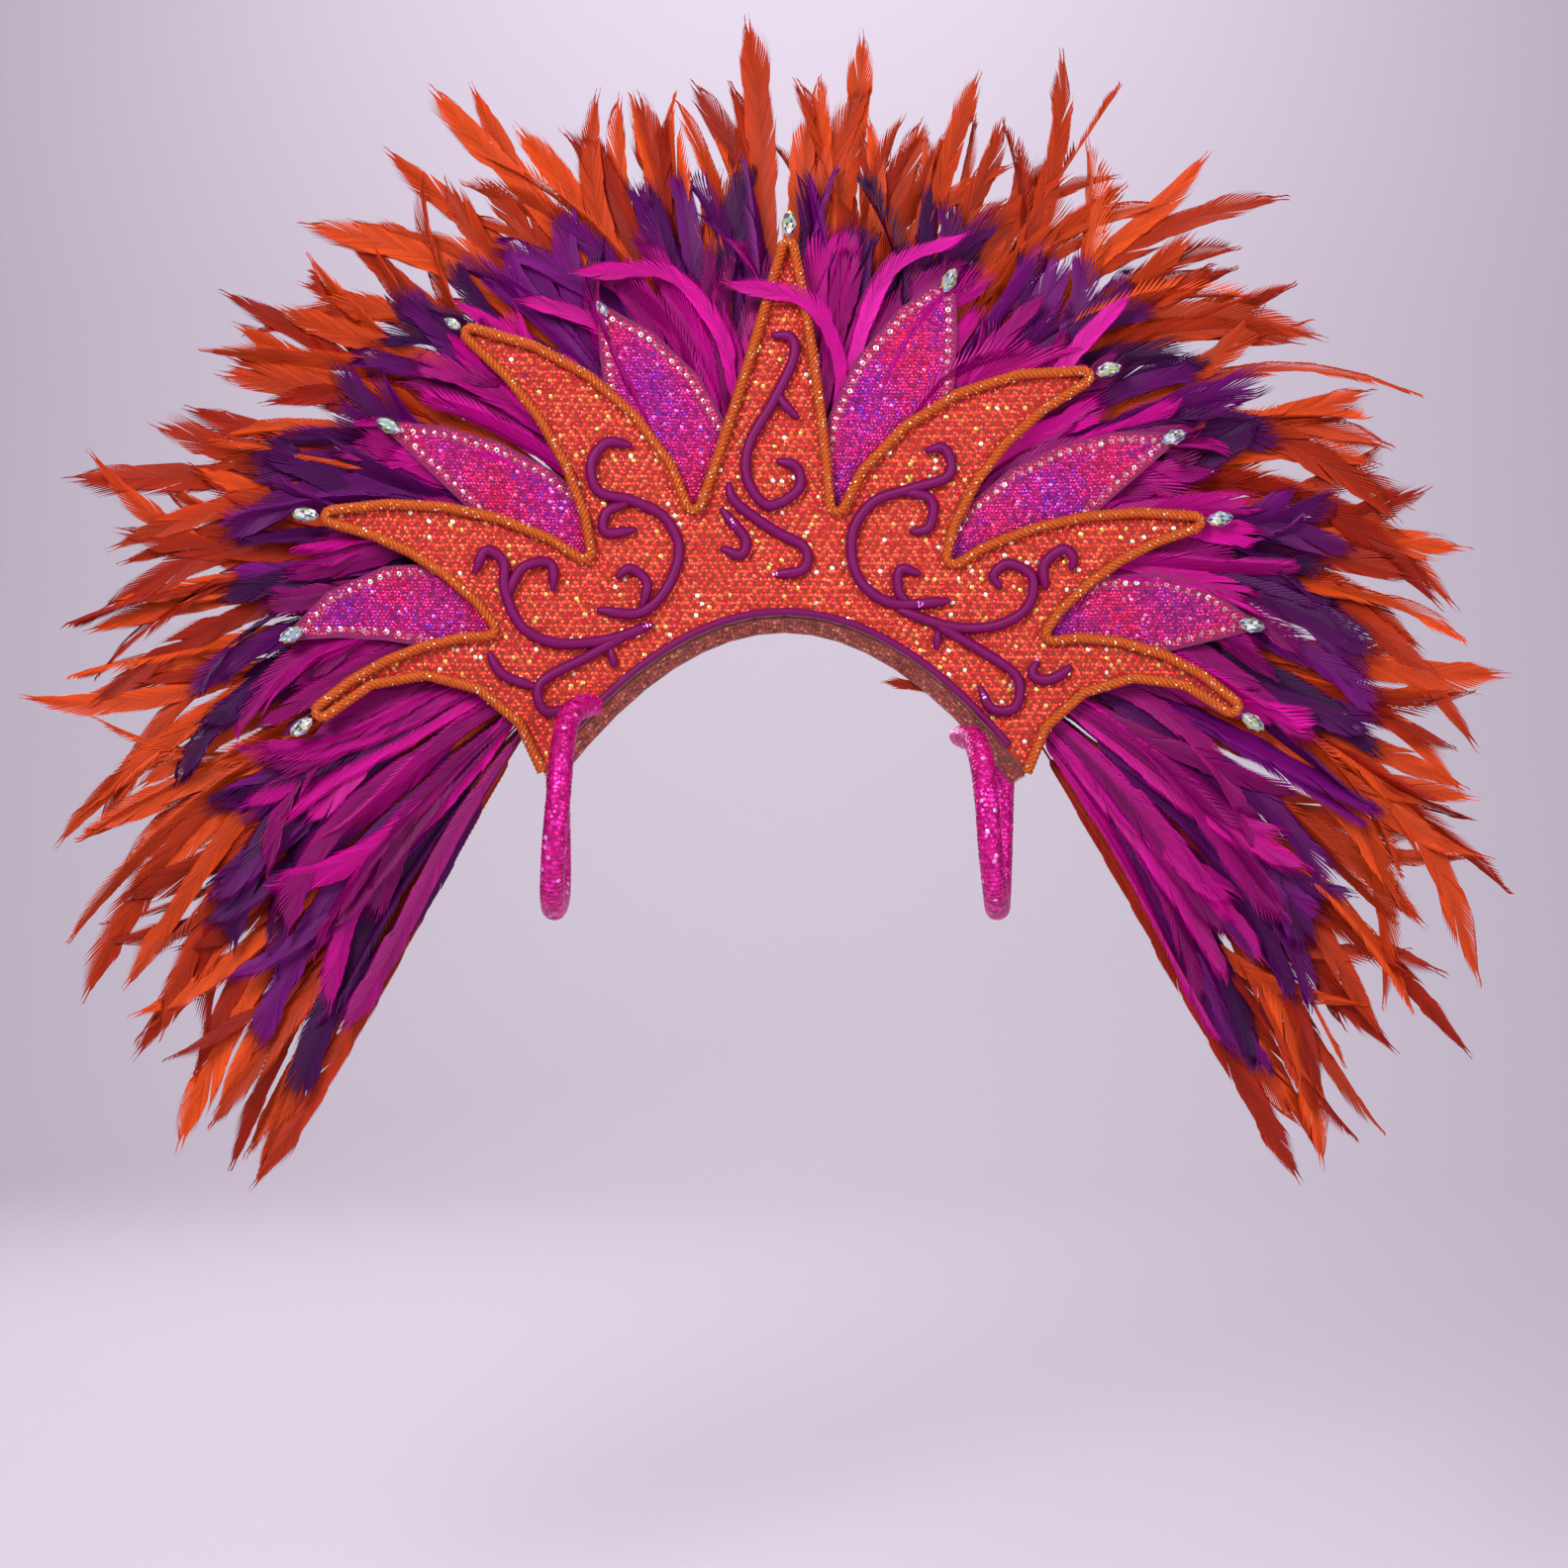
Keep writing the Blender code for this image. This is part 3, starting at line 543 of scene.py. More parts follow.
def inward_gap(points: np.ndarray, outline: np.ndarray) -> np.ndarray:
    """How far each (x, z) point lies inside a closed outline, and less than 0 outside it."""
    start = outline
    way = np.roll(outline, -1, axis=0) - outline
    rise = points[:, None] - start[None]
    share = np.clip((rise * way).sum(-1) / (way**2).sum(-1), 0, 1)
    gap = np.linalg.norm(rise - share[..., None] * way, axis=-1).min(axis=1)
    end = start + way
    crosses = (start[None, :, 1] > points[:, None, 1]) != (end[None, :, 1] > points[:, None, 1])
    slope = np.where(way[:, 1] == 0, 1e-12, way[:, 1])
    meets = start[None, :, 0] + rise[..., 1] * way[None, :, 0] / slope[None]
    inside = ((points[:, None, 0] < meets) & crosses).sum(axis=1) % 2 == 1
    return np.where(inside, gap, -gap)


def discs(
    shell: Shell, centres: np.ndarray, normals: np.ndarray, radius: float, rise: float,
    tints: np.ndarray, tilt: float, rng: np.random.Generator, sides: int = 5,
) -> None:
    """Adds a low double cone for each centre: a ring of the radius, its middle raised by rise along a
    normal that is tilted at random, and its back as much lower as UNDER_SHARE of the rise.

    Args:
        shell: where they go.
        centres: their middles.
        normals: the directions that they face.
        radius: of the ring.
        rise: of the middle.
        tints: a colour for each.
        tilt: how far they lean, as a tangent.
        rng: the source of the leans.
        sides: points of a ring.
    """
    count = len(centres)
    facing = unit(normals + rng.normal(0, tilt, (count, 3)))
    first = unit(np.cross(facing, ACROSS_DISC))
    second = np.cross(facing, first)
    turn = np.arange(sides) / sides * math.tau + rng.uniform(0, math.tau, count)[:, None]
    ring = centres[:, None] + radius * (
        first[:, None] * np.cos(turn)[..., None] + second[:, None] * np.sin(turn)[..., None]
    )
    middle = centres + facing * rise
    under = centres - facing * rise * UNDER_SHARE
    points = np.concatenate([ring, middle[:, None], under[:, None]], axis=1)
    corner = np.arange(sides)
    after = (corner + 1) % sides
    top = np.stack([corner, after, np.full(sides, sides)], axis=-1)
    base = np.stack([after, corner, np.full(sides, sides + 1)], axis=-1)
    one = np.concatenate([top, base])
    faces = (one[None] + (np.arange(count) * (sides + 2))[:, None, None]).reshape(-1, 3)
    shell.add(points, [faces], np.repeat(tints, sides + 2, axis=0))


def drawn(
    colours: tuple, weights: tuple, count: int, rng: np.random.Generator, spread: float = 0.12
) -> np.ndarray:
    """A colour for each of count small things, drawn by weight and varied a little in brightness."""
    shares = np.array(weights) / sum(weights)
    picked = np.array(colours)[rng.choice(len(colours), count, p=shares)]
    return np.clip(picked * rng.normal(1, spread, (count, 1)), 0.0, 1.0)


@dataclass
class SequinnedCloth:
    """A sheet with rows of small sequins sewn to its front."""

    node: str
    front: float
    pitch: float
    colours: tuple
    weights: tuple
    hem: float = 0.0032
    rise: float = 0.0006
    tilt: float = 0.12
    open_net: bool = False
    edge_strip: float = 0.0
    edge_colour: tuple = (0.0, 0.0, 0.0)
    edge_share: float = 0.7
    drift: float = 0.0
    drift_waves: tuple = (61, 47, 29)  # across, up and aslant, in radians to the metre
    drift_tint: tuple = (1.0, 0.0, -1.6)
    drift_range: tuple = (0.3, 1.6)
    # Shares of the pitch, and of the rise
    shake: float = 0.06
    disc_share: float = 0.56
    sunk: float = 0.4

    def places(self, outline: np.ndarray) -> np.ndarray:
        """Middles in rows half a pitch apart in turn, where the outline holds them. An open net leaves
        out every other one of every other row, so that the cloth shows in small triangles."""
        low, high = outline.min(axis=0), outline.max(axis=0)
        row_step = self.pitch * math.sqrt(3) / 2
        rows = np.arange(low[1], high[1], row_step)
        columns = np.arange(low[0], high[0], self.pitch)
        x, z = np.meshgrid(columns, rows)
        row, column = np.indices(x.shape)
        x = x + (row % 2) * self.pitch / 2
        sewn = np.ones(x.shape, bool)
        if self.open_net:
            sewn = (row % 2 == 1) | ((column + row // 2) % 2 == 1)
        flat = np.stack([x, z], axis=-1)[sewn]
        return flat[inward_gap(flat, outline) > self.hem]

    def dress(self, shell: Shell, rng: np.random.Generator) -> None:
        """Adds the sheet's sequins to a shell. Their colour drifts with a sum of two sines of the
        place, and a strip along the edge takes most of its colour from edge_colour."""
        outline = front_outline(self.node)
        flat = self.places(outline)
        flat = flat + rng.normal(0, self.pitch * self.shake, flat.shape)
        centres = lay(flat, self.front - self.rise * self.sunk)
        tints = drawn(self.colours, self.weights, len(flat), rng)
        across, up, aslant = self.drift_waves
        patch = np.sin(flat[:, 0] * across) + np.sin(flat[:, 1] * up + flat[:, 0] * aslant)
        tints = tints * np.clip(1 + self.drift * patch[:, None] * self.drift_tint, *self.drift_range)
        if self.edge_strip:
            near = inward_gap(flat, outline) < self.edge_strip
            edge = np.array(self.edge_colour) * self.edge_share
            tints[near] = tints[near] * (1 - self.edge_share) + edge
        facing = np.broadcast_to(FRONT, centres.shape)
        radius = self.pitch * self.disc_share
        discs(shell, centres, facing, radius, self.rise, tints, self.tilt, rng)


@dataclass(frozen=True)
class PaintedGlints:
    """Small bright flecks on the front of a cord: painted glints."""

    piece: str
    slot: str
    finish: SequinFinish
    colours: tuple
    weights: tuple
    turn: float
    seat: float
    radius: float
    rise: float
    tilt: float
    spread: float = 0.05

    def build(
        self, middles: np.ndarray, across: np.ndarray, radii: np.ndarray | float,
        rng: np.random.Generator,
    ) -> None:
        """Lays a fleck on the cord's surface beside each middle: the front direction times the cosine
        of a chance turn plus the direction across times its sine.

        Args:
            middles: points of the cord's middle line.
            across: the direction across the cord at each.
            radii: the cord's radius at each, or one for them all.
            rng: the source of chance.
        """
        turn = rng.normal(0, self.turn, len(middles))[:, None]
        normal = FRONT * np.cos(turn) + across * np.sin(turn)
        tints = drawn(self.colours, self.weights, len(middles), rng, self.spread)
        centres = middles + normal * radii * self.seat
        shell = Shell()
        discs(shell, centres, normal, self.radius, self.rise, tints, self.tilt, rng)
        shell.build(self.piece, self.finish.material(), self.slot)


@dataclass
class CrownPanel:
    """The sequined panel with its edge cord, neck piping and neck binding."""

    pitch: float = 0.0046
    cord_radius: float = 0.0060
    strand_radius: float = 0.0029
    strands: int = 4
    strand_sides: int = 6
    twist: float = 0.020
    cord_step: float = 0.0031
    cord_soften: float = 0.006
    # Pale gold and white flecks on the gimp: painted glints
    glints: PaintedGlints = PaintedGlints(
        "edge_cord_glints", "copper_cord", SequinFinish("gimp_glint", 0.15, 0.4),
        (linear(255, 214, 150), linear(255, 244, 226), linear(255, 150, 70)), (4, 3, 3),
        turn=0.6, seat=0.97, radius=0.0011, rise=0.0006, tilt=0.35,
    )
    # The panel's two lowest tips, in its shares
    low_tips: tuple = ((-0.264, 0.002), (0.276, 0.000))
    arch_soften: float = 0.03
    piping_radius: float = 0.0040
    piping_sides: int = 10
    piping_step: float = 0.004
    piping_end_gap: float = 0.032
    binding_depth: float = 0.034
    binding_fall: float = 0.014
    band_pitch: float = 0.0042
    band_first: float = 0.06
    band_last: float = 0.97
    band_drop: float = 0.0026
    band_lean: float = 0.4
    band_disc_radius: float = 0.0024
    band_disc_rise: float = 0.0005
    band_disc_tilt: float = 0.12
    # The lightest copper stands for painted glints on the band's sequins
    band_colours: tuple = (linear(182, 74, 48), linear(128, 44, 34), linear(232, 140, 104))
    band_weights: tuple = (5, 3, 1)
    # The gold and the white are painted glints; the reds and oranges are the sequins' own colours
    colours: tuple = (
        linear(226, 66, 38), linear(206, 44, 30), linear(236, 92, 50), linear(255, 186, 96),
        linear(255, 236, 214), linear(214, 16, 40),
    )
    weights: tuple = (46, 32, 12, 3, 1.5, 6)

    def build(self) -> None:
        """Builds every piece of the panel."""
        rng = np.random.default_rng(SEED)
        crown, arch = self.edges()
        self.sequins(rng)
        self.cord(crown)
        self.piping(arch)
        self.binding(arch, rng)

    def edges(self) -> tuple[np.ndarray, np.ndarray]:
        """The panel's outline in two: over the points, from the left end to the right, and the neck
        arch from the left end to the right."""
        loop = front_outline("collar_panel")
        left, right = (int(np.linalg.norm(loop - tip, axis=1).argmin()) for tip in on_panel(self.low_tips))
        loop = np.roll(loop, -left, axis=0)
        right = (right - left) % len(loop)
        one = loop[: right + 1]
        other = np.concatenate([loop[right:], loop[:1]])[::-1]
        return (one, other) if one[:, 1].max() > other[:, 1].max() else (other, one)

    def sequins(self, rng: np.random.Generator) -> None:
        """Sequins on the panel, over their cloth."""
        cloth = SequinnedCloth(
            "collar_panel", PANEL_FRONT, self.pitch, self.colours, self.weights, open_net=True
        )
        shell = Shell()
        cloth.dress(shell, rng)
        shell.build("panel_sequins", SequinFinish("panel_sequin").material(), "panel_sequins")
        dress_node("collar_panel", ClothFinish("panel_cloth", linear(178, 44, 26), linear(112, 20, 14)))

    def cord(self, crown: np.ndarray) -> None:
        """A twisted gimp cord over the panel's edge, of strands on helices round its line, with bright flecks
        at chance places: painted glints of its metal thread."""
        route = even_route(crown, self.cord_step, self.cord_soften)
        path = lay(route, PANEL_FRONT - CLEARANCE - self.cord_radius)
        length = run_lengths(path)
        aside = self.cord_radius - self.strand_radius
        shell = Shell()
        for strand in range(self.strands):
            phase = length / self.twist * math.tau + strand * math.tau / self.strands
            points, faces, uv = swept(path, self.strand_radius, self.strand_sides, FRONT, phase, aside)
            shell.add(points, faces, uv=uv)
        finish = CordFinish(
            "copper_gimp", linear(160, 52, 18), linear(246, 128, 58), 0.34, 0.45, 5200.0, 1.0
        )
        shell.build("edge_cord_gimp", finish.material(), "copper_cord", ("edge_cord",), smooth=True)
        rng = np.random.default_rng(SEED + 5)
        at = rng.integers(2, len(path) - 2, len(path) // 2)
        along = unit(np.gradient(path, axis=0))[at]
        self.glints.build(path[at], np.cross(along, FRONT), self.cord_radius, rng)

    def piping(self, arch: np.ndarray) -> None:
        """A thin satin piping along the neck arch."""
        route = even_route(arch, self.piping_step, self.arch_soften)
        skip = round(self.piping_end_gap / run_lengths(route)[-1] * len(route))
        route = route[skip:-skip]
        flat = route + upper_side(route) * self.piping_radius
        path = lay(flat, PANEL_FRONT - CLEARANCE - self.piping_radius)
        points, faces, uv = swept(path, self.piping_radius, self.piping_sides)
        shell = Shell()
        shell.add(points, faces, uv=uv)
        finish = CordFinish(
            "satin_piping", linear(82, 0, 60), linear(140, 4, 100), 0.40, 0.0, 2600.0, 3.0, relief=0.0001
        )
        shell.build("neck_piping_satin", finish.material(), "scroll_cord", ("neck_piping",), smooth=True)

    def binding(self, arch: np.ndarray, rng: np.random.Generator) -> None:
        """Sequins on the face of the band that turns back under the neck arch. The face is a grid:
        along the arch, and from its front edge back and down to its rear edge."""
        route = even_route(arch, self.band_pitch, self.arch_soften)
        normal = upper_side(route)
        down = np.stack([-normal[:, 0], np.full(len(normal), -self.band_lean), -normal[:, 1]], axis=-1)
        step = self.band_pitch / math.hypot(self.binding_depth, self.binding_fall)
        shell = Shell()
        for number, share in enumerate(np.arange(self.band_first, self.band_last, step)):
            start = number % 2
            drop = self.band_drop + self.binding_fall * share
            flat = (route - normal * drop)[start:]
            centres = lay(flat, PANEL_FRONT + self.binding_depth * share)
            tints = drawn(self.band_colours, self.band_weights, len(flat), rng)
            discs(
                shell, centres, down[start:], self.band_disc_radius, self.band_disc_rise, tints,
                self.band_disc_tilt, rng,
            )
        shell.build("neck_band_sequins", SequinFinish("band_sequin").material(), "binding_sequins")
        dress_node("neck_binding", ClothFinish("band_cloth", linear(136, 50, 34), linear(78, 26, 20)))


def dress_node(node: str, finish: ClothFinish) -> None:
    """Gives a solid that stays a better material in each of its slots."""
    made = finish.material()
    for slot in bpy.data.objects[node].material_slots:
        slot.material = made
    log.info("%s: new material", node)


@dataclass
class Petals:
    """Six glittering petals, each with a row of small clear stones along its edge."""

    names: tuple = (
        "petal_left_high", "petal_left_middle", "petal_left_low",
        "petal_right_high", "petal_right_middle", "petal_right_low",
    )
    pitch: float = 0.0038
    tilt: float = 0.10
    drift: float = 0.15
    strip: float = 0.0125
    strip_colour: tuple = linear(174, 44, 84)
    # The violet is partly the glitter's own colour and partly painted highlight; the pale pink is painted
    # glints
    colours: tuple = (
        linear(178, 0, 116), linear(150, 0, 108), linear(214, 4, 108), linear(118, 16, 168),
        linear(255, 120, 210),
    )
    weights: tuple = (46, 34, 11, 6, 2)
    stone_radius: float = 0.0027
    stone_height: float = 0.0014
    stone_pitch: float = 0.0108
    stone_sunk: float = 0.0007
    stone_sides: int = 8
    stone_tilt: float = 0.02
    stone_rings: tuple = ((1.0, 0.35), (0.62, 1.0))  # shares of the radius and of the height
    # The near-white is painted highlight on the pinkish stones
    stone_colours: tuple = (linear(214, 150, 160), linear(190, 110, 140), linear(255, 246, 244))
    stone_weights: tuple = (5, 4, 2)
    inset: float = 0.0085
    least_inset: float = 0.72  # as a share of the inset
    panel_gap: float = 0.004

    def build(self) -> None:
        """Builds the sequins and the stones of every petal."""
        rng = np.random.default_rng(SEED + 1)
        sequins, stones = Shell(), Shell()
        panel = front_outline("collar_panel")
        for name in self.names:
            cloth = SequinnedCloth(
                name, PETAL_FRONT, self.pitch, self.colours, self.weights, tilt=self.tilt,
                edge_strip=self.strip, edge_colour=self.strip_colour, drift=self.drift,
            )
            cloth.dress(sequins, rng)
            self.edge_stones(front_outline(name), panel, stones, rng)
            dress_node(name, ClothFinish(name + "_cloth", linear(150, 0, 96), linear(84, 0, 60)))
        sequins.build("petal_glitter", SequinFinish("petal_sequin", 0.30, 0.45).material(), "petal_sequins")
        stones.build("petal_edge_stones", StoneFinish("edge_stone").material(), "stone")

    def edge_stones(
        self, outline: np.ndarray, panel: np.ndarray, shell: Shell, rng: np.random.Generator
    ) -> None:
        """Stones at even steps along a line inset from the petal's edge, where the panel leaves it free.
        Each is a wide low cone and a narrow high one.

        Args:
            outline: the petal's.
            panel: the panel's outline.
            shell: where they go.
            rng: the source of chance.
        """
        closed = np.concatenate([outline, outline[:1]])
        route = even_route(closed, self.stone_pitch)[:-1]
        way = unit(np.roll(route, -1, axis=0) - np.roll(route, 1, axis=0))
        aside = way[:, ::-1] * (-1, 1)
        within = inward_gap(route + aside * self.inset / 2, outline)[:, None] > 0
        flat = route + np.where(within, aside, -aside) * self.inset
        deep = inward_gap(flat, outline) > self.inset * self.least_inset
        flat = flat[deep & (inward_gap(flat, panel) < -self.panel_gap)]
        centres = lay(flat, PETAL_FRONT - self.stone_sunk)
        facing = np.broadcast_to(FRONT, centres.shape)
        for wide, high in self.stone_rings:
            tints = drawn(self.stone_colours, self.stone_weights, len(flat), rng)
            discs(
                shell, centres, facing, self.stone_radius * wide, self.stone_height * high, tints,
                self.stone_tilt, rng, self.stone_sides,
            )


@dataclass
class ScrollCords:
    """The satin cord scrolls on the panel, each stroke a smooth line through a few places."""

    radius: float = 0.0056
    sides: int = 12
    step: float = 0.0032
    branch_thinning: float = 0.96
    # A cord's radius squared, as a share: at its end, and more with each point from there
    end_share: float = 0.16
    end_growth: float = 0.19
    strokes: dict = field(default_factory=dict)
    # Where the cords carry painted highlights, in the panel's shares
    painted_glint_places: tuple = (
        (-0.005, 0.378), (-0.146, 0.281), (-0.050, 0.480), (0.229, 0.148), (0.289, 0.216), (0.158, 0.320),
    )
    flecks: int = 6
    fleck_spread: float = 0.0020
    # Lilac and white flecks: painted highlights on the satin cords
    glints: PaintedGlints = PaintedGlints(
        "scroll_glints", "scroll_cord", SequinFinish("satin_glint", 0.2, 0.3),
        (linear(236, 170, 255), linear(255, 236, 255), linear(206, 40, 226)), (4, 3, 4),
        turn=0.35, seat=0.98, radius=0.0014, rise=0.0005, tilt=0.15,
    )

    def build(self) -> None:
        """Builds one piece for each scroll, and their painted glints."""
        finish = CordFinish(
            "satin_scroll", linear(82, 0, 60), linear(142, 0, 100), 0.40, 0.0, 2200.0, 2.0, relief=0.00012
        )
        material = finish.material()
        cords = []
        for name, strokes in self.strokes.items():
            shell = Shell()
            for place, stroke in enumerate(strokes):
                radius = self.radius * (self.branch_thinning if place else 1.0)
                route = smooth_route(on_panel(stroke), self.step)
                path = lay(route, PANEL_FRONT - CLEARANCE - self.radius)
                ends = np.minimum(np.arange(len(path)), np.arange(len(path))[::-1])
                rounded = radius * np.sqrt(np.clip(self.end_share + ends * self.end_growth, 0, 1))
                points, faces, uv = swept(path, rounded, self.sides)
                shell.add(points, faces, uv=uv)
                across = np.cross(unit(np.gradient(path, axis=0)), FRONT)
                cords.append(np.c_[path, across, rounded])
            shell.build(name + "_satin", material, "scroll_cord", (name,), smooth=True)
        self.add_painted_glints(np.concatenate(cords))

    def add_painted_glints(self, cords: np.ndarray) -> None:
        """Bright lilac flecks on the front of the cords, painted highlights of the satin, a few round each of
        the chosen places.

        Args:
            cords: rows of a middle line's point, the direction across the cord there, and its radius.
        """
        rng = np.random.default_rng(SEED + 6)
        chosen = np.repeat(on_panel(self.painted_glint_places), self.flecks, axis=0)
        chosen = chosen + rng.normal(0, self.fleck_spread, chosen.shape)
        away = np.linalg.norm(cords[None, :, [0, 2]] - chosen[:, None], axis=-1)
        nearest = cords[away.argmin(axis=1)]
        self.glints.build(nearest[:, :3], nearest[:, 3:6], nearest[:, 6:], rng)


@dataclass
class Stones:
    """The pointed oval stones at the tips, each cut with a table, star facets and a pointed girdle."""

    sides: int = 8
    # Share of the height, share of the length and width, share of a facet that it is turned by
    rings: tuple = ((0.0, 0.62, 0.0), (0.36, 1.0, 0.0), (0.74, 0.80, 0.5), (1.0, 0.50, 0.0))
    # Whether the triangles from each ring to the next lean on by a facet
    leans: tuple = (False, False, True)
    fullness: float = 0.35
    # The white and the greys are painted reflections in the facets; the lilac, blue-green and yellow-green
    # are the coating's own colours
    colours: tuple = (
        linear(246, 250, 248), linear(176, 160, 226), linear(150, 196, 206), linear(206, 214, 120),
        linear(92, 92, 104), linear(150, 160, 160),
    )
    weights: tuple = (5, 3, 3, 4, 4, 3)
    spread: float = 0.10

    def build(self) -> None:
        """Builds a cut stone over each stone solid."""
        material = StoneFinish("cut_stone").material()
        rng = np.random.default_rng(SEED + 2)
        for node in sorted(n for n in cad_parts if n.startswith("crystal_")):
            facets = self.facets(self.rings_of(node))
            tints = drawn(self.colours, self.weights, len(facets), rng, self.spread)
            shell = Shell()
            shell.add(facets, [np.arange(len(facets) * 3).reshape(-1, 3)], np.repeat(tints, 3, axis=0))
            shell.build(node + "_cut", material, "stone", (node,))

    def rings_of(self, node: str) -> list[np.ndarray]:
        """The stone's rings on the box and the long axis of its solid: the cosine of the turn along
        the axis, and across it the sine, each with its size and the ring's share. The sine is drawn
        out by a power, which points the ends."""
        data = bpy.data.objects[node].data
        points = np.empty(len(data.vertices) * 3)
        data.vertices.foreach_get("co", points)
        points = np.unique(points.reshape(-1, 3).round(6), axis=0)
        middle = (points.max(axis=0) + points.min(axis=0)) / 2
        flat = points[:, [0, 2]] - middle[[0, 2]]
        axis = np.linalg.svd(flat - flat.mean(axis=0))[2][0]
        side = np.array([axis[1], -axis[0]])
        length, width = np.abs(flat @ axis).max(), np.abs(flat @ side).max()
        back, height = points[:, 1].max(), np.ptp(points[:, 1])
        rings = []
        for rise, share, turned in self.rings:
            turn = (np.arange(self.sides) + turned) / self.sides * math.tau
            full = np.abs(np.sin(turn)) ** self.fullness
            lengthwise = np.outer(np.cos(turn) * length, axis)
            crosswise = np.outer(np.sin(turn) * full * width, side)
            places = (lengthwise + crosswise) * share
            deep = np.full(self.sides, back - rise * height)
            rings.append(np.stack([places[:, 0] + middle[0], deep, places[:, 1] + middle[2]], axis=-1))
        return rings

    def facets(self, rings: list[np.ndarray]) -> np.ndarray:
        """The triangles between the rings and over both ends, loose so that each has its own tint,
        and all turned outwards."""
        triangles = []
        corner = np.arange(self.sides)
        after = (corner + 1) % self.sides
        for low, high, leaning in zip(rings, rings[1:], self.leans):
            near, far = (after, (after + 1) % self.sides) if leaning else (corner, after)
            triangles.append(np.stack([low[corner], low[after], high[near]], axis=1))
            triangles.append(np.stack([low[after], high[far], high[near]], axis=1))
        for ring, turned in ((rings[0], True), (rings[-1], False)):
            hub = np.broadcast_to(ring.mean(axis=0), ring.shape)
            fan = [ring[after], ring[corner], hub] if turned else [ring[corner], ring[after], hub]
            triangles.append(np.stack(fan, axis=1))
        facets = np.concatenate(triangles)
        centre = facets.reshape(-1, 3).mean(axis=0)
        normal = np.cross(facets[:, 1] - facets[:, 0], facets[:, 2] - facets[:, 0])
        inward = ((facets.mean(axis=1) - centre) * normal).sum(axis=1) < 0
        facets[inward] = facets[inward][:, ::-1]
        return facets


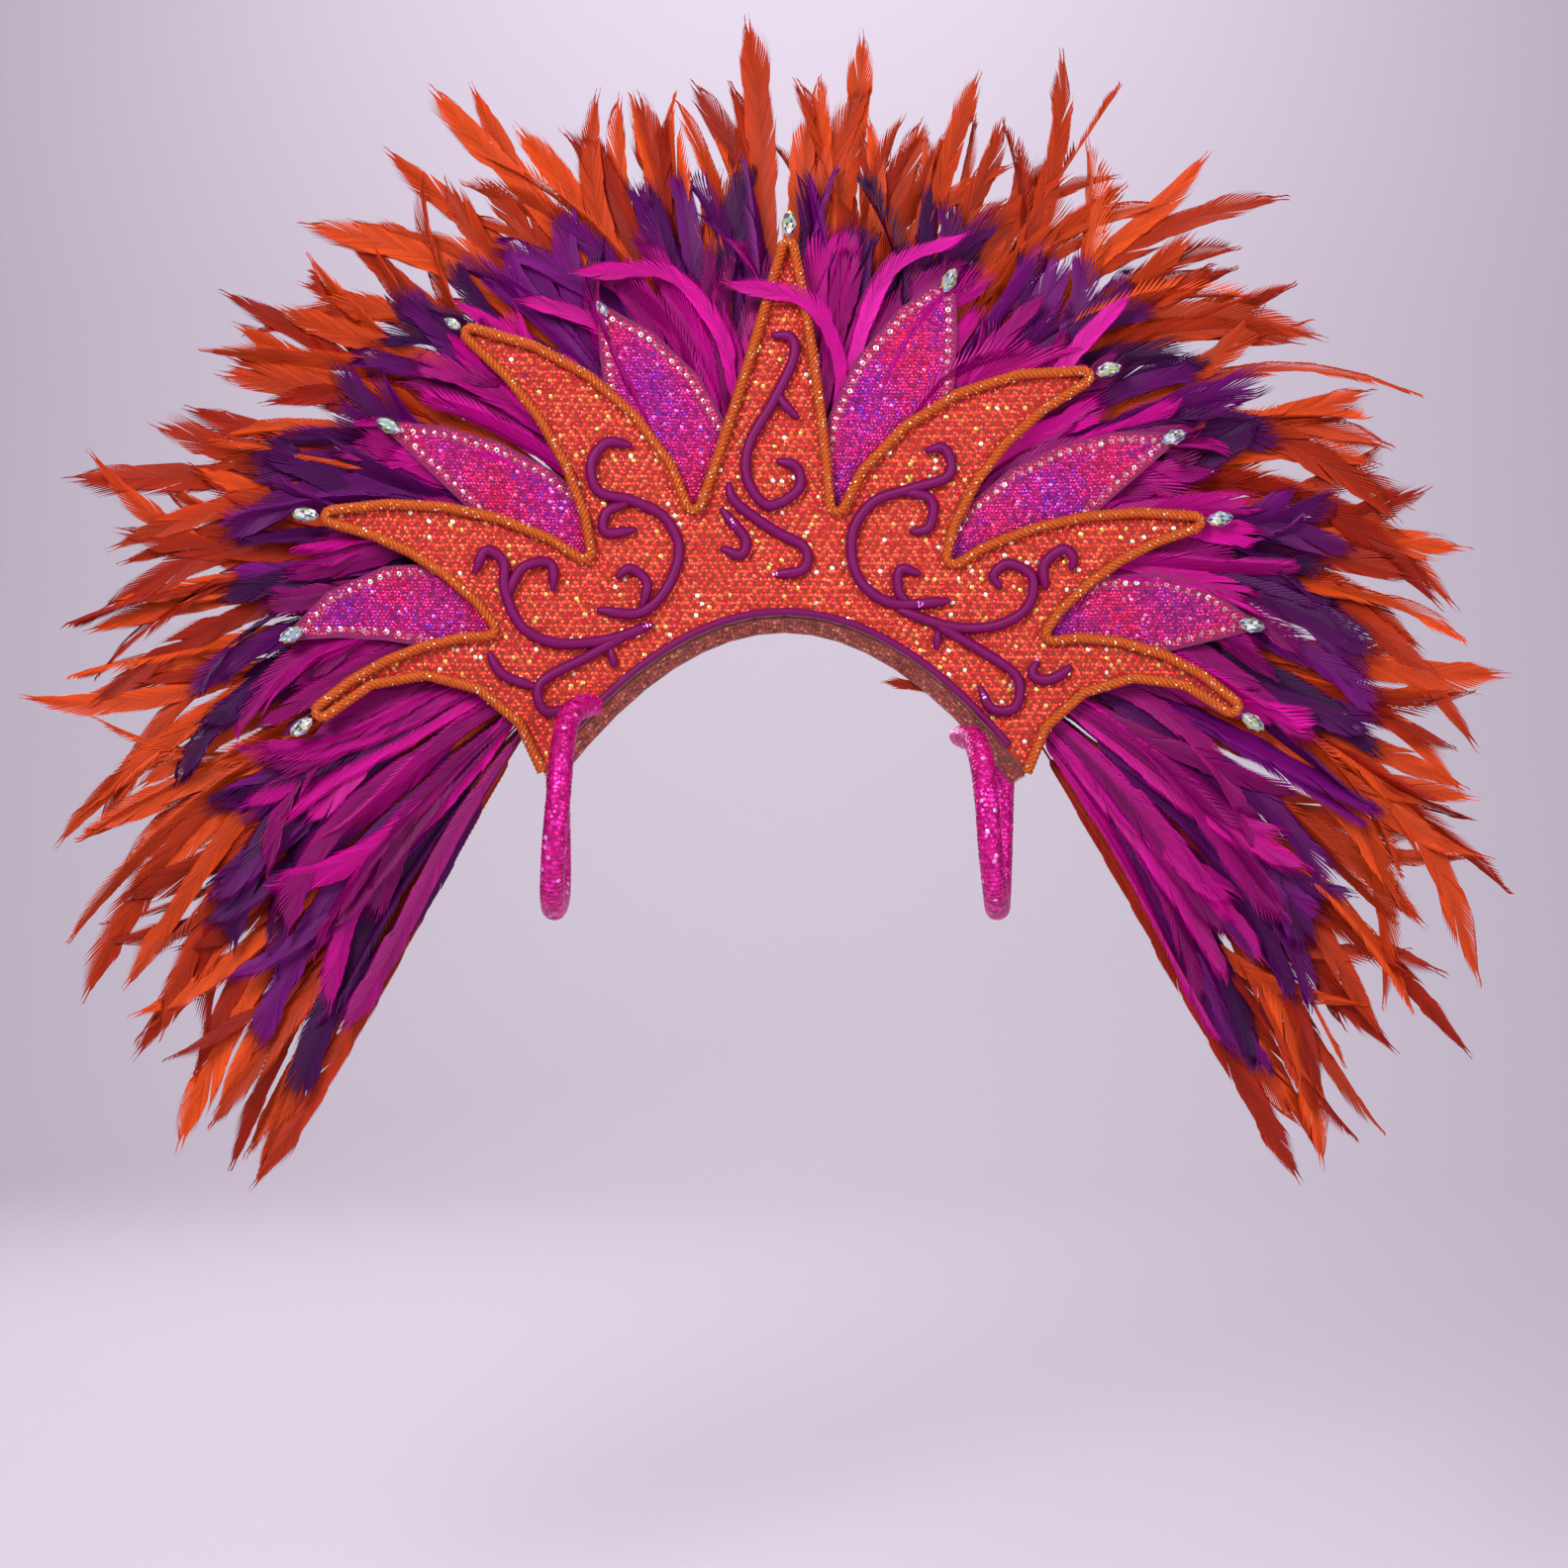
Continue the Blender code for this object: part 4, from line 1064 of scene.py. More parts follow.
@dataclass
class Harness:
    """Two loops wrapped in pink sequins, one round each arm."""

    half_width: float = 0.210
    reach: float = 0.125
    back: float = 0.055
    drop: float = 0.205
    radius: float = 0.012
    sides: int = 16
    step: float = 0.0045
    pitch: float = 0.0047
    # Shares of the radius, and of the pitch
    tube_share: float = 0.94
    disc_seat: float = 0.965
    disc_share: float = 0.58
    disc_rise: float = 0.0006
    disc_tilt: float = 0.10
    seat_up: float = -0.025
    seat_gap: float = 0.0023
    left_seat: float = -1.086
    right_seat: float = 1.090
    # Each place: across as a share of the half width, forward as a share of the reach (back, where it
    # is less than 0, as a share of the back), down as a share of the drop, and the share of the radius
    left: tuple = (
        (-0.87, 0.20, 0.02, 0.70), (-0.92, 0.27, 0.02, 1.00), (-0.98, 0.46, 0.07, 1.00),
        (-1.00, 0.78, 0.22, 1.00), (-1.01, 0.97, 0.43, 1.00), (-1.03, 0.98, 0.66, 1.00),
        (-1.05, 0.78, 0.90, 1.00), (-1.06, 0.35, 1.00, 1.00), (-1.06, -0.30, 0.93, 1.00),
        (-1.07, -0.90, 0.68, 1.00), (-1.08, -1.00, 0.38, 1.00), (-1.08, -0.62, 0.16, 1.00),
    )
    right: tuple = (
        (0.86, -0.16, 0.165, 0.70), (0.89, 0.10, 0.17, 1.00), (0.92, 0.46, 0.19, 1.00),
        (0.94, 0.80, 0.30, 1.00), (0.955, 0.98, 0.47, 1.00), (0.97, 0.98, 0.68, 1.00),
        (1.00, 0.78, 0.90, 1.00), (1.03, 0.35, 1.00, 1.00), (1.06, -0.30, 0.93, 1.00),
        (1.08, -0.90, 0.68, 1.00), (1.09, -1.00, 0.38, 1.00), (1.09, -0.62, 0.16, 1.00),
    )
    # The two lightest pinks are painted highlights on the pink sequins
    colours: tuple = (linear(220, 16, 142), linear(184, 4, 120), linear(240, 40, 176), linear(255, 150, 226))
    weights: tuple = (46, 32, 18, 3)

    def build(self) -> None:
        """Builds the wrapped tube and the sequins of each loop."""
        rng = np.random.default_rng(SEED + 3)
        sequin = SequinFinish("harness_sequin", 0.25, 0.45).material()
        finish = CordFinish("harness_wrap", linear(160, 4, 100), linear(220, 30, 140), 0.5, 0.0, 1300.0, 1.0)
        wrap = finish.material()
        loops = (("left", self.left, self.left_seat), ("right", self.right, self.right_seat))
        for side, table, seat in loops:
            route = self.route(np.array(table), seat)
            path, radius = route[:, :3], route[:, 3] * self.radius
            shell = Shell()
            points, faces, uv = swept(path, radius * self.tube_share, self.sides, RIGHT)
            shell.add(points, faces, uv=uv)
            shell.build(f"harness_{side}_tube", wrap, "harness_sequins", (f"harness_{side}",), smooth=True)
            scales = Shell()
            self.scales(scales, path, radius, rng)
            scales.build(f"harness_{side}_sequins", sequin, "harness_sequins")

    def route(self, table: np.ndarray, seat: float) -> np.ndarray:
        """The middle line and the share of the radius, from the table's shares."""
        reach = np.where(table[:, 1] > 0, self.reach, self.back)
        x = table[:, 0] * self.half_width
        y = dish(x) - table[:, 1] * reach
        rows = np.stack([x, y, -table[:, 2] * self.drop, table[:, 3]], axis=-1)
        x = seat * self.half_width
        last = np.array([[x, dish(x) - PANEL_FRONT + self.seat_gap, self.seat_up, 1.0]])
        return smooth_route(np.concatenate([rows, last]), self.step)

    def scales(self, shell: Shell, path: np.ndarray, radius: np.ndarray, rng: np.random.Generator) -> None:
        """Sequins in rings round the tube, every other ring turned by half a step."""
        along = unit(np.gradient(path, axis=0))
        first = unit(RIGHT - (along @ RIGHT)[:, None] * along)
        second = np.cross(along, first)
        around = round(math.tau * self.radius / self.pitch)
        odd = (np.arange(len(path)) % 2)[:, None]
        turn = (np.arange(around)[None] + odd / 2) / around * math.tau
        normal = first[:, None] * np.cos(turn)[..., None] + second[:, None] * np.sin(turn)[..., None]
        centres = path[:, None] + normal * (radius * self.disc_seat)[:, None, None]
        centres, normal = centres[1:-1].reshape(-1, 3), normal[1:-1].reshape(-1, 3)
        tints = drawn(self.colours, self.weights, len(centres), rng)
        disc_radius = self.pitch * self.disc_share
        discs(shell, centres, normal, disc_radius, self.disc_rise, tints, self.disc_tilt, rng)


@dataclass
class FeatherRow:
    """The feathers of one colour."""

    layer: Layer
    reach: float
    per_sector: int
    width: float
    depth: float
    curl: float
    tones: tuple
    spread: float
    tips: tuple = ()
    bare: float = 0.10


@dataclass
class FeatherFan:
    """Cock feathers in three colours, bound by their roots to a curved band behind the panel."""

    radius: float = 0.72
    centre_up: float = -0.050
    lowest_deg: float = 240.0
    backing_radius: float = 0.250
    backing_width: float = 0.034
    backing_lowest_deg: float = 172.0
    backing_half_depth: float = 0.0048
    backing_places: int = 10
    backing_sides: int = 12
    backing_roundness: float = 0.6
    backing_gap: float = 0.004
    sectors: int = 6
    line_points: int = 160
    curl_length: float = 0.5
    barb_pitch: float = 0.0056
    barb_thickness: float = 0.0004
    barbs_end: float = 0.985
    clump: int = 9
    clump_gather: float = 0.06
    # How much barbs vary by chance, a clump together and each on its own
    clump_turn: float = 0.03
    clump_length: float = 0.05
    clump_lift: float = 0.05
    clump_shade: float = 0.07
    barb_length: float = 0.012
    barb_shade: float = 0.09
    foot_angle_deg: float = 27.0
    tip_angle_deg: float = 15.0
    droop: float = 0.075
    tuft: int = 3
    # How much a feather's bow, hook, place in depth and turn vary, and less so at the fan's ends
    bow_spread: float = 0.06
    bow_most: float = 0.12
    hook_spread: float = 0.15
    hook_most: float = 0.28
    depth_shake: float = 0.0035
    roll_spread: float = 0.40
    roll_more_spread: float = 0.7
    stiff_share: float = 0.04
    stiff_looseness: float = 0.4
    dark_lean: float = 1.2
    width_range: tuple = (0.75, 1.2)
    quill_radii: tuple = (0.0012, 0.0003)
    quill_end: int = 154
    quill_stride: int = 9
    quill_sides: int = 4
    stray_rolls: tuple = (0.0, 0.3)
    # Places that the forward-curling feathers pass through, from root to tip
    front_strays: tuple = (
        ((0.030, 0.012, 0.195), (0.056, 0.010, 0.280), (0.060, 0.000, 0.345), (0.030, -0.0175, 0.398),
         (-0.046, -0.020, 0.420)),
        ((-0.040, 0.012, 0.195), (-0.044, 0.008, 0.290), (-0.060, -0.004, 0.370), (-0.110, -0.012, 0.428),
         (-0.200, -0.018, 0.432)),
        ((0.035, 0.012, 0.200), (0.070, 0.006, 0.330), (0.110, -0.004, 0.430), (0.185, -0.010, 0.470)),
        ((-0.150, 0.012, 0.160), (-0.215, 0.004, 0.270), (-0.250, -0.010, 0.350), (-0.318, -0.026, 0.398)),
        ((0.150, 0.012, 0.160), (0.240, 0.000, 0.260), (0.290, -0.022, 0.340), (0.345, -0.036, 0.402)),
    )
    # A lighter copy of the magenta for the feathers that curl forward: painted light
    stray_painted_light: tuple = linear(238, 30, 178)
    front_stray_share: float = 0.7
    neck_stray_share: float = 0.5
    # The orange feather whose tip shows inside the neck arch
    neck_stray: tuple = (
        (0.262, 0.036, 0.110), (0.228, 0.040, 0.050), (0.180, 0.040, 0.018), (0.112, 0.036, 0.022),
    )
    rows: tuple = ()

    def share_places(self, share: np.ndarray) -> tuple[np.ndarray, np.ndarray]:
        """The root and the direction of a feather at a share of the way round, from the lower left.

        Args:
            share: 0 at the lower left, 1 at the lower right.

        Returns:
            Roots and unit directions as (x, z) rows.
        """
        share = np.asarray(share, dtype=float)
        root_turn = np.radians(self.backing_lowest_deg + (180 - 2 * self.backing_lowest_deg) * share)
        way_turn = np.radians(self.lowest_deg + (180 - 2 * self.lowest_deg) * share)
        spoke = np.stack([np.cos(root_turn), np.sin(root_turn)], axis=-1)
        root = spoke * self.backing_radius + (0, self.centre_up)
        return root, np.stack([np.cos(way_turn), np.sin(way_turn)], axis=-1)

    def tip_of(self, share: np.ndarray, reach: np.ndarray) -> np.ndarray:
        """Where a feather ends: on the circle of that share of the fan's radius round its centre."""
        root, way = self.share_places(share)
        spoke = root - (0, self.centre_up)
        along = (spoke * way).sum(axis=-1)
        radius = np.asarray(reach) * self.radius
        length = np.sqrt(along**2 - (spoke**2).sum(axis=-1) + radius**2) - along
        return root + way * length[..., None]

    def share_at(self, bearing_deg: np.ndarray, reach: float) -> np.ndarray:
        """The share whose tip stands at a bearing from the fan's centre."""
        shares = np.linspace(-0.02, 1.02, BEARING_STEPS)
        tips = self.tip_of(shares, np.full(BEARING_STEPS, reach)) - (0, self.centre_up)
        bearings = np.degrees(np.arctan2(tips[:, 1], tips[:, 0]))
        bearings = np.where(bearings < -90, bearings + 360, bearings)
        return np.interp(np.asarray(bearing_deg), bearings[::-1], shares[::-1])

    def plans(self, row: FeatherRow, rng: np.random.Generator) -> np.ndarray:
        """The share and the reach of every feather of a row: tufts evenly round the fan, with chance in
        both, and then its table of chosen tips."""
        count = row.per_sector * self.sectors
        tufts = np.repeat(np.arange(0, count, self.tuft) + self.tuft / 2, self.tuft)[:count]
        share = (tufts + rng.normal(0, 1.0, count)) / count
        reach = row.reach * (1 - np.abs(rng.normal(0, row.spread, count)))
        plans = np.stack([share, reach], axis=-1)
        if row.tips:
            chosen = np.array(row.tips)
            shares = self.share_at(chosen[:, 0], row.reach)
            plans[:, 1] *= 0.95
            plans = np.concatenate([plans, np.stack([shares, chosen[:, 1]], axis=-1)])
        plans[:, 0] = np.clip(plans[:, 0], 0.002, 0.998)
        return plans

    def build(self) -> None:
        """Builds one piece for each sector of each row."""
        rng = np.random.default_rng(SEED + 4)
        for row in self.rows:
            finish = FeatherFinish(f"{row.layer.value}_feather").material()
            plans = self.plans(row, rng)
            sector = np.clip((plans[:, 0] * self.sectors).astype(int), 0, self.sectors - 1)
            for number in range(self.sectors):
                shell = Shell()
                self.band(shell, number, row)
                for share, reach in plans[sector == number]:
                    self.feather(shell, row, share, reach, rng)
                if row.layer is Layer.MAGENTA and number == self.sectors // 2:
                    # The forward-curling feathers take only light tones: painted light
                    tones = (row.tones[1], self.stray_painted_light)
                    width = row.width * self.front_stray_share
                    self.strays(shell, self.front_strays, tones, width, rng)
                if row.layer is Layer.ORANGE and number == self.sectors - 1:
                    width = row.width * self.neck_stray_share
                    self.strays(shell, (self.neck_stray,), row.tones, width, rng)
                node = f"feathers_{row.layer.value}_{number + 1}"
                shell.build(node + "_plumes", finish, f"feather_{row.layer.value}", (node,))

    def band(self, shell: Shell, number: int, row: FeatherRow) -> None:
        """The band of one sector that the quills are bound to: a rounded section, of a cosine and a
        sine each to a power below one, swept along the arc of the roots."""
        ends = (number + self.backing_gap, number + 1 - self.backing_gap)
        root, _ = self.share_places(np.linspace(*ends, self.backing_places) / self.sectors)
        outward = unit(root - (0, self.centre_up))
        turn = np.arange(self.backing_sides) / self.backing_sides * math.tau
        cosine, sine = np.cos(turn), np.sin(turn)
        wide = np.sign(cosine) * np.abs(cosine) ** self.backing_roundness * self.backing_width / 2
        deep = np.sign(sine) * np.abs(sine) ** self.backing_roundness * self.backing_half_depth
        flat = root[:, None] + outward[:, None] * wide[None, :, None]
        y = dish(flat[..., 0]) + row.depth + deep[None]
        rings = np.stack([flat[..., 0], y, flat[..., 1]], axis=-1)
        points = np.concatenate([rings.reshape(-1, 3), rings[:1].mean(axis=1), rings[-1:].mean(axis=1)])
        faces = tube_faces(self.backing_places, self.backing_sides)
        shell.add(points, faces, np.array(row.tones[0]) * 0.5)

    def spine(
        self, row: FeatherRow, share: float, reach: float, bow: float, hook: float, lean: float,
        t: np.ndarray,
    ) -> np.ndarray:
        """The quill's line: the chord from root to tip, a bow of one half wave to the side with a hook
        of t to the fourth less t, which bends most at the tip, and a lean back with the square of the
        length. The bow leans up at the sides of the fan, so that the tips droop.

        Args:
            row: its row.
            share: where it stands round the fan.
            reach: its tip's distance, as a share of the fan's radius.
            bow: the half wave, as a share of its length.
            hook: the bend at the tip, as a share of its length.
            lean: how far back it lies at curl_length.
            t: shares of the way along it.

        Returns:
            Points as rows of x, y and z.
        """
        root, _ = self.share_places(share)
        chord = self.tip_of(share, reach) - root
        length = np.linalg.norm(chord)
        side = np.array([chord[1], -chord[0]])
        arch = bow - self.droop * chord[0] / length
        bend = arch * np.sin(math.pi * t) + hook * (t**4 - t)
        flat = root + chord * t[:, None] + side * bend[:, None]
        y = dish(flat[:, 0]) + row.depth + lean * (t * length / self.curl_length) ** 2
        return np.stack([flat[:, 0], y, flat[:, 1]], axis=-1)

    def feather(
        self, shell: Shell, row: FeatherRow, share: float, reach: float, rng: np.random.Generator
    ) -> None:
        """One feather: a quill, and on each side slender barbs that leave it at an angle, gather in
        clumps and bend towards the tip."""
        stiff = share <= self.stiff_share or share >= 1 - self.stiff_share
        loose = self.stiff_looseness if stiff else 1.0
        bow = loose * np.clip(rng.normal(0, self.bow_spread), -self.bow_most, self.bow_most)
        hook = loose * np.clip(rng.normal(0, self.hook_spread), -self.hook_most, self.hook_most)
        lean = row.curl * rng.uniform(0.5, 1.0)
        points = self.spine(row, share, reach, bow, hook, lean, np.linspace(0, 1, self.line_points))
        points[:, 1] += rng.uniform(-self.depth_shake, self.depth_shake)
        rolls = rng.normal(0, self.roll_spread), rng.normal(0, self.roll_more_spread)
        self.vane(shell, points, row.width, row.tones, rolls, rng, row.bare)

    def strays(
        self, shell: Shell, lines: tuple, tones: tuple, width: float, rng: np.random.Generator
    ) -> None:
        """The few feathers that curl out of their row.

        Args:
            shell: where they go.
            lines: the places that each passes through, from root to tip.
            tones: their dark and their light colour.
            width: of a usual one.
            rng: the source of chance.
        """
        for stray in lines:
            route = smooth_route(np.array(stray), 0.002)
            numbers = np.arange(len(route))
            even = np.linspace(0, len(route) - 1, self.line_points)
            points = np.stack([np.interp(even, numbers, column) for column in route.T], axis=-1)
            self.vane(shell, points, width, tones, self.stray_rolls, rng)

    def vane(
        self, shell: Shell, points: np.ndarray, full_width: float, tones: tuple,
        rolls: tuple[float, float], rng: np.random.Generator, bare: float = 0.10,
    ) -> None:
        """The quill along a line of line_points places, and the barbs of both its sides.

        Args:
            shell: where they go.
            points: the line.
            full_width: of a usual feather of this colour.
            tones: its dark and its light colour.
            rolls: its turn about the quill at the root, and how much more it is turned at the tip.
            rng: the source of chance.
            bare: the share of the quill at the root that has no barbs.
        """
        line = np.linspace(0, 1, len(points))
        along = unit(np.gradient(points, axis=0))
        front = unit(FRONT - (along @ FRONT)[:, None] * along)
        side = np.cross(along, front)
        roll = rolls[0] + rolls[1] * line
        across = side * np.cos(roll)[:, None] + front * np.sin(roll)[:, None]
        facing = front * np.cos(roll)[:, None] - side * np.sin(roll)[:, None]
        length = np.linalg.norm(np.diff(points, axis=0), axis=1).sum()
        tone = rng.uniform(0, 1) ** self.dark_lean
        colour = np.array(tones[0]) * (1 - tone) + np.array(tones[1]) * tone
        quill_line = points[: self.quill_end : self.quill_stride]
        thickness = np.linspace(*self.quill_radii, len(quill_line))
        quill, faces, _ = swept(quill_line, thickness, self.quill_sides)
        shell.add(quill, faces, np.clip(colour * 1.15 + 0.02, 0, 1))
        width = full_width * rng.uniform(*self.width_range)
        for sign in (-1, 1):
            self.barbs(shell, points, along, across * sign, facing, length, width, colour, rng, bare)

    def barbs(
        self, shell: Shell, spine: np.ndarray, along: np.ndarray, across: np.ndarray,
        facing: np.ndarray, length: float, width: float, colour: np.ndarray,
        rng: np.random.Generator, bare: float,
    ) -> None:
        """The barbs of one side. Each is a closed sliver: a ridged foot on the quill, a ridged middle
        and a point, 10 triangles. It leaves the quill at an angle that narrows evenly from the foot of
        the vane to its tip. Half the vane's width rises with a quarter sine to its full size and falls
        with a square root over the last TIP_SHARE, and a barb's length is that over the angle's sine.

        Args:
            shell: where they go.
            spine: points of the quill, evenly from root to tip.
            along: its direction at each.
            across: the direction away from it on this side.
            facing: the direction that the vane faces.
            length: of the quill.
            width: of the feather.
            colour: its colour.
            rng: the source of chance.
            bare: the share of the quill at the root that has no barbs.
        """
        count = max(12, round(length * (1 - bare) / self.barb_pitch))
        u = np.linspace(0, 1, count)
        at = (bare + (self.barbs_end - bare) * u) * (len(spine) - 1)
        low = np.minimum(at.astype(int), len(spine) - 2)
        part = (at - low)[:, None]
        lines = (spine, along, across, facing)
        foot, tangent, out, face = (a[low] * (1 - part) + a[low + 1] * part for a in lines)
        group = np.floor(np.arange(count) / self.clump + rng.uniform(0, 1)).astype(int)
        groups = group.max() + 1
        turned = rng.normal(0, self.clump_turn, groups)[group]
        longer = 1 + rng.normal(0, self.clump_length, groups)[group] + rng.normal(0, self.barb_length, count)
        lifted = rng.normal(0, self.clump_lift, groups)[group]
        within = np.arange(count) / self.clump % 1.0 - 0.5
        opening = np.radians(self.foot_angle_deg + (self.tip_angle_deg - self.foot_angle_deg) * u)
        closing = np.clip((u - (1 - TIP_SHARE)) / TIP_SHARE, 0, 1)
        gathered = turned - within * self.clump_gather
        angle = opening * (1 - TIP_NARROWING * closing) + gathered * (1 - closing)
        rising = FOOT_WIDTH + (1 - FOOT_WIDTH) * np.sin(np.clip(u / WIDEST_AT, 0, 1) * math.pi / 2)
        falling = np.clip((1 - u) / TIP_SHARE, TIP_LEAST, 1) ** 0.5
        reach = width / 2 * rising * falling / np.sin(opening) * longer

        def toward(turn: np.ndarray) -> np.ndarray:
            """The direction at an angle from the quill."""
            return tangent * np.cos(turn)[:, None] + out * np.sin(turn)[:, None]

        to_middle = toward(angle) * BARB_MIDDLE + face * (lifted * 0.3)[:, None]
        to_tip = toward(angle - BARB_BEND) * (1 - BARB_MIDDLE) - face * (0.10 - lifted * 0.7)[:, None]
        middle = foot + to_middle * reach[:, None]
        tip = middle + to_tip * reach[:, None]
        half = tangent * self.barb_pitch * BARB_HALF_WIDTH
        slim = half * 0.95
        ridge = face * self.barb_thickness
        feet = [foot - half, foot + half, foot + ridge]
        middles = [middle - slim, middle + slim, middle + ridge]
        corners = np.stack([*feet, *middles, tip], axis=1)
        shift = (np.arange(count) * corners.shape[1])[:, None, None]
        flat = corners.reshape(-1, 3)
        faces = BARB_FACES[None] + shift
        corner = flat[faces]
        volume = (corner[..., 0, :] * np.cross(corner[..., 1, :], corner[..., 2, :])).sum(-1).sum(-1)
        faces[volume < 0] = faces[volume < 0][:, :, ::-1]
        bright = rng.normal(1, self.barb_shade, (count, 1))
        bright = bright * rng.normal(1, self.clump_shade, groups)[group][:, None]
        # Painted shade: each barb darker at its foot by the quill, lighter towards its point
        bright = bright * BARB_PAINTED_SHADE[None]
        tints = np.clip(colour * bright[..., None], 0, 1).reshape(-1, 3)
        shell.add(flat, [faces.reshape(-1, 3)], tints)


@dataclass
class Studio:
    """The camera, the soft lights and the pale floor that curves up into a backdrop."""

    photo_pixels: float = 1584.0
    metres_per_pixel: float = 0.001
    middle_px: tuple = (787.0, 710.0)
    distance: float = 3.0
    sensor: float = 36.0
    floor_up: float = -1.05
    wall_back: float = 6.5
    wall_curve: float = 2.5
    half_width: float = 10.0
    sky_colour: tuple = linear(226, 222, 232)
    sky_strength: float = 0.42

    def build(self) -> None:
        """Adds the camera, lights, world and floor."""
        self.camera()
        self.lights()
        self.floor()

    def camera(self) -> None:
        """A level camera whose frame is the photograph's."""
        half = self.photo_pixels / 2
        x = (half - self.middle_px[0]) * self.metres_per_pixel
        z = (self.middle_px[1] - half) * self.metres_per_pixel
        data = bpy.data.cameras.new("camera")
        data.sensor_width = self.sensor
        data.lens = self.sensor * self.distance / (self.photo_pixels * self.metres_per_pixel)
        camera = bpy.data.objects.new("camera", data)
        camera.location = (x, -self.distance, z)
        camera.rotation_euler = (math.pi / 2, 0.0, 0.0)
        bpy.context.scene.collection.objects.link(camera)
        bpy.context.scene.camera = camera

    def lights(self) -> None:
        """A large key light from the upper left, a fill, a light from above and a pale world."""
        collar, wall = (0.0, 0.0, 0.05), (0.0, 6.4, 0.2)
        # Place, what it points at, size, power
        table = (
            ((-1.3, -2.6, 1.5), collar, 1.1, 74.0),
            ((1.9, -2.5, 0.6), collar, 1.6, 36.0),
            ((0.2, 0.5, 2.3), collar, 1.4, 28.0),
            ((-1.6, 2.8, 1.7), collar, 1.6, 40.0),
            ((0.0, 3.9, 3.2), wall, 3.0, 84.0),
        )
        for number, (place, target, size, power) in enumerate(table):
            data = bpy.data.lights.new(f"light_{number}", "AREA")
            data.energy = power
            data.size = size
            lamp = bpy.data.objects.new(f"light_{number}", data)
            lamp.location = place
            away = np.array(place) - target
            pitch = math.atan2(math.hypot(away[0], away[1]), away[2])
            lamp.rotation_euler = (pitch, 0.0, math.atan2(away[0], -away[1]))
            bpy.context.scene.collection.objects.link(lamp)
        world = bpy.data.worlds.new("studio")
        world.use_nodes = True
        sky = world.node_tree.nodes["Background"].inputs
        sky["Color"].default_value = (*self.sky_colour, 1.0)
        sky["Strength"].default_value = self.sky_strength
        bpy.context.scene.world = world
        bpy.context.scene.view_settings.view_transform = "Standard"

    def floor(self) -> None:
        """One sheet: flat, then a quarter circle up, then straight up."""
        radius = self.wall_curve
        turn = np.linspace(0, math.pi / 2, 24)
        start = self.wall_back - radius
        y = np.concatenate([[-self.half_width], start + radius * np.sin(turn), [self.wall_back]])
        z = np.concatenate([[0.0], radius - radius * np.cos(turn), [self.half_width]]) + self.floor_up
        rows = len(y)
        sides = (-self.half_width, self.half_width)
        points = np.concatenate([np.stack([np.full(rows, x), y, z], axis=-1) for x in sides])
        row = np.arange(rows - 1)
        faces = np.stack([row, row + rows, row + rows + 1, row + 1], axis=-1)
        mesh = bpy.data.meshes.new("floor")
        mesh.from_pydata(points.tolist(), [], faces.tolist())
        mesh.polygons.foreach_set("use_smooth", np.full(len(faces), True))
        mesh.materials.append(Shade("pale_floor", base_color=linear(216, 206, 219), roughness=0.85).material)
        floor = bpy.data.objects.new("floor", mesh)
        bpy.context.scene.collection.objects.link(floor)


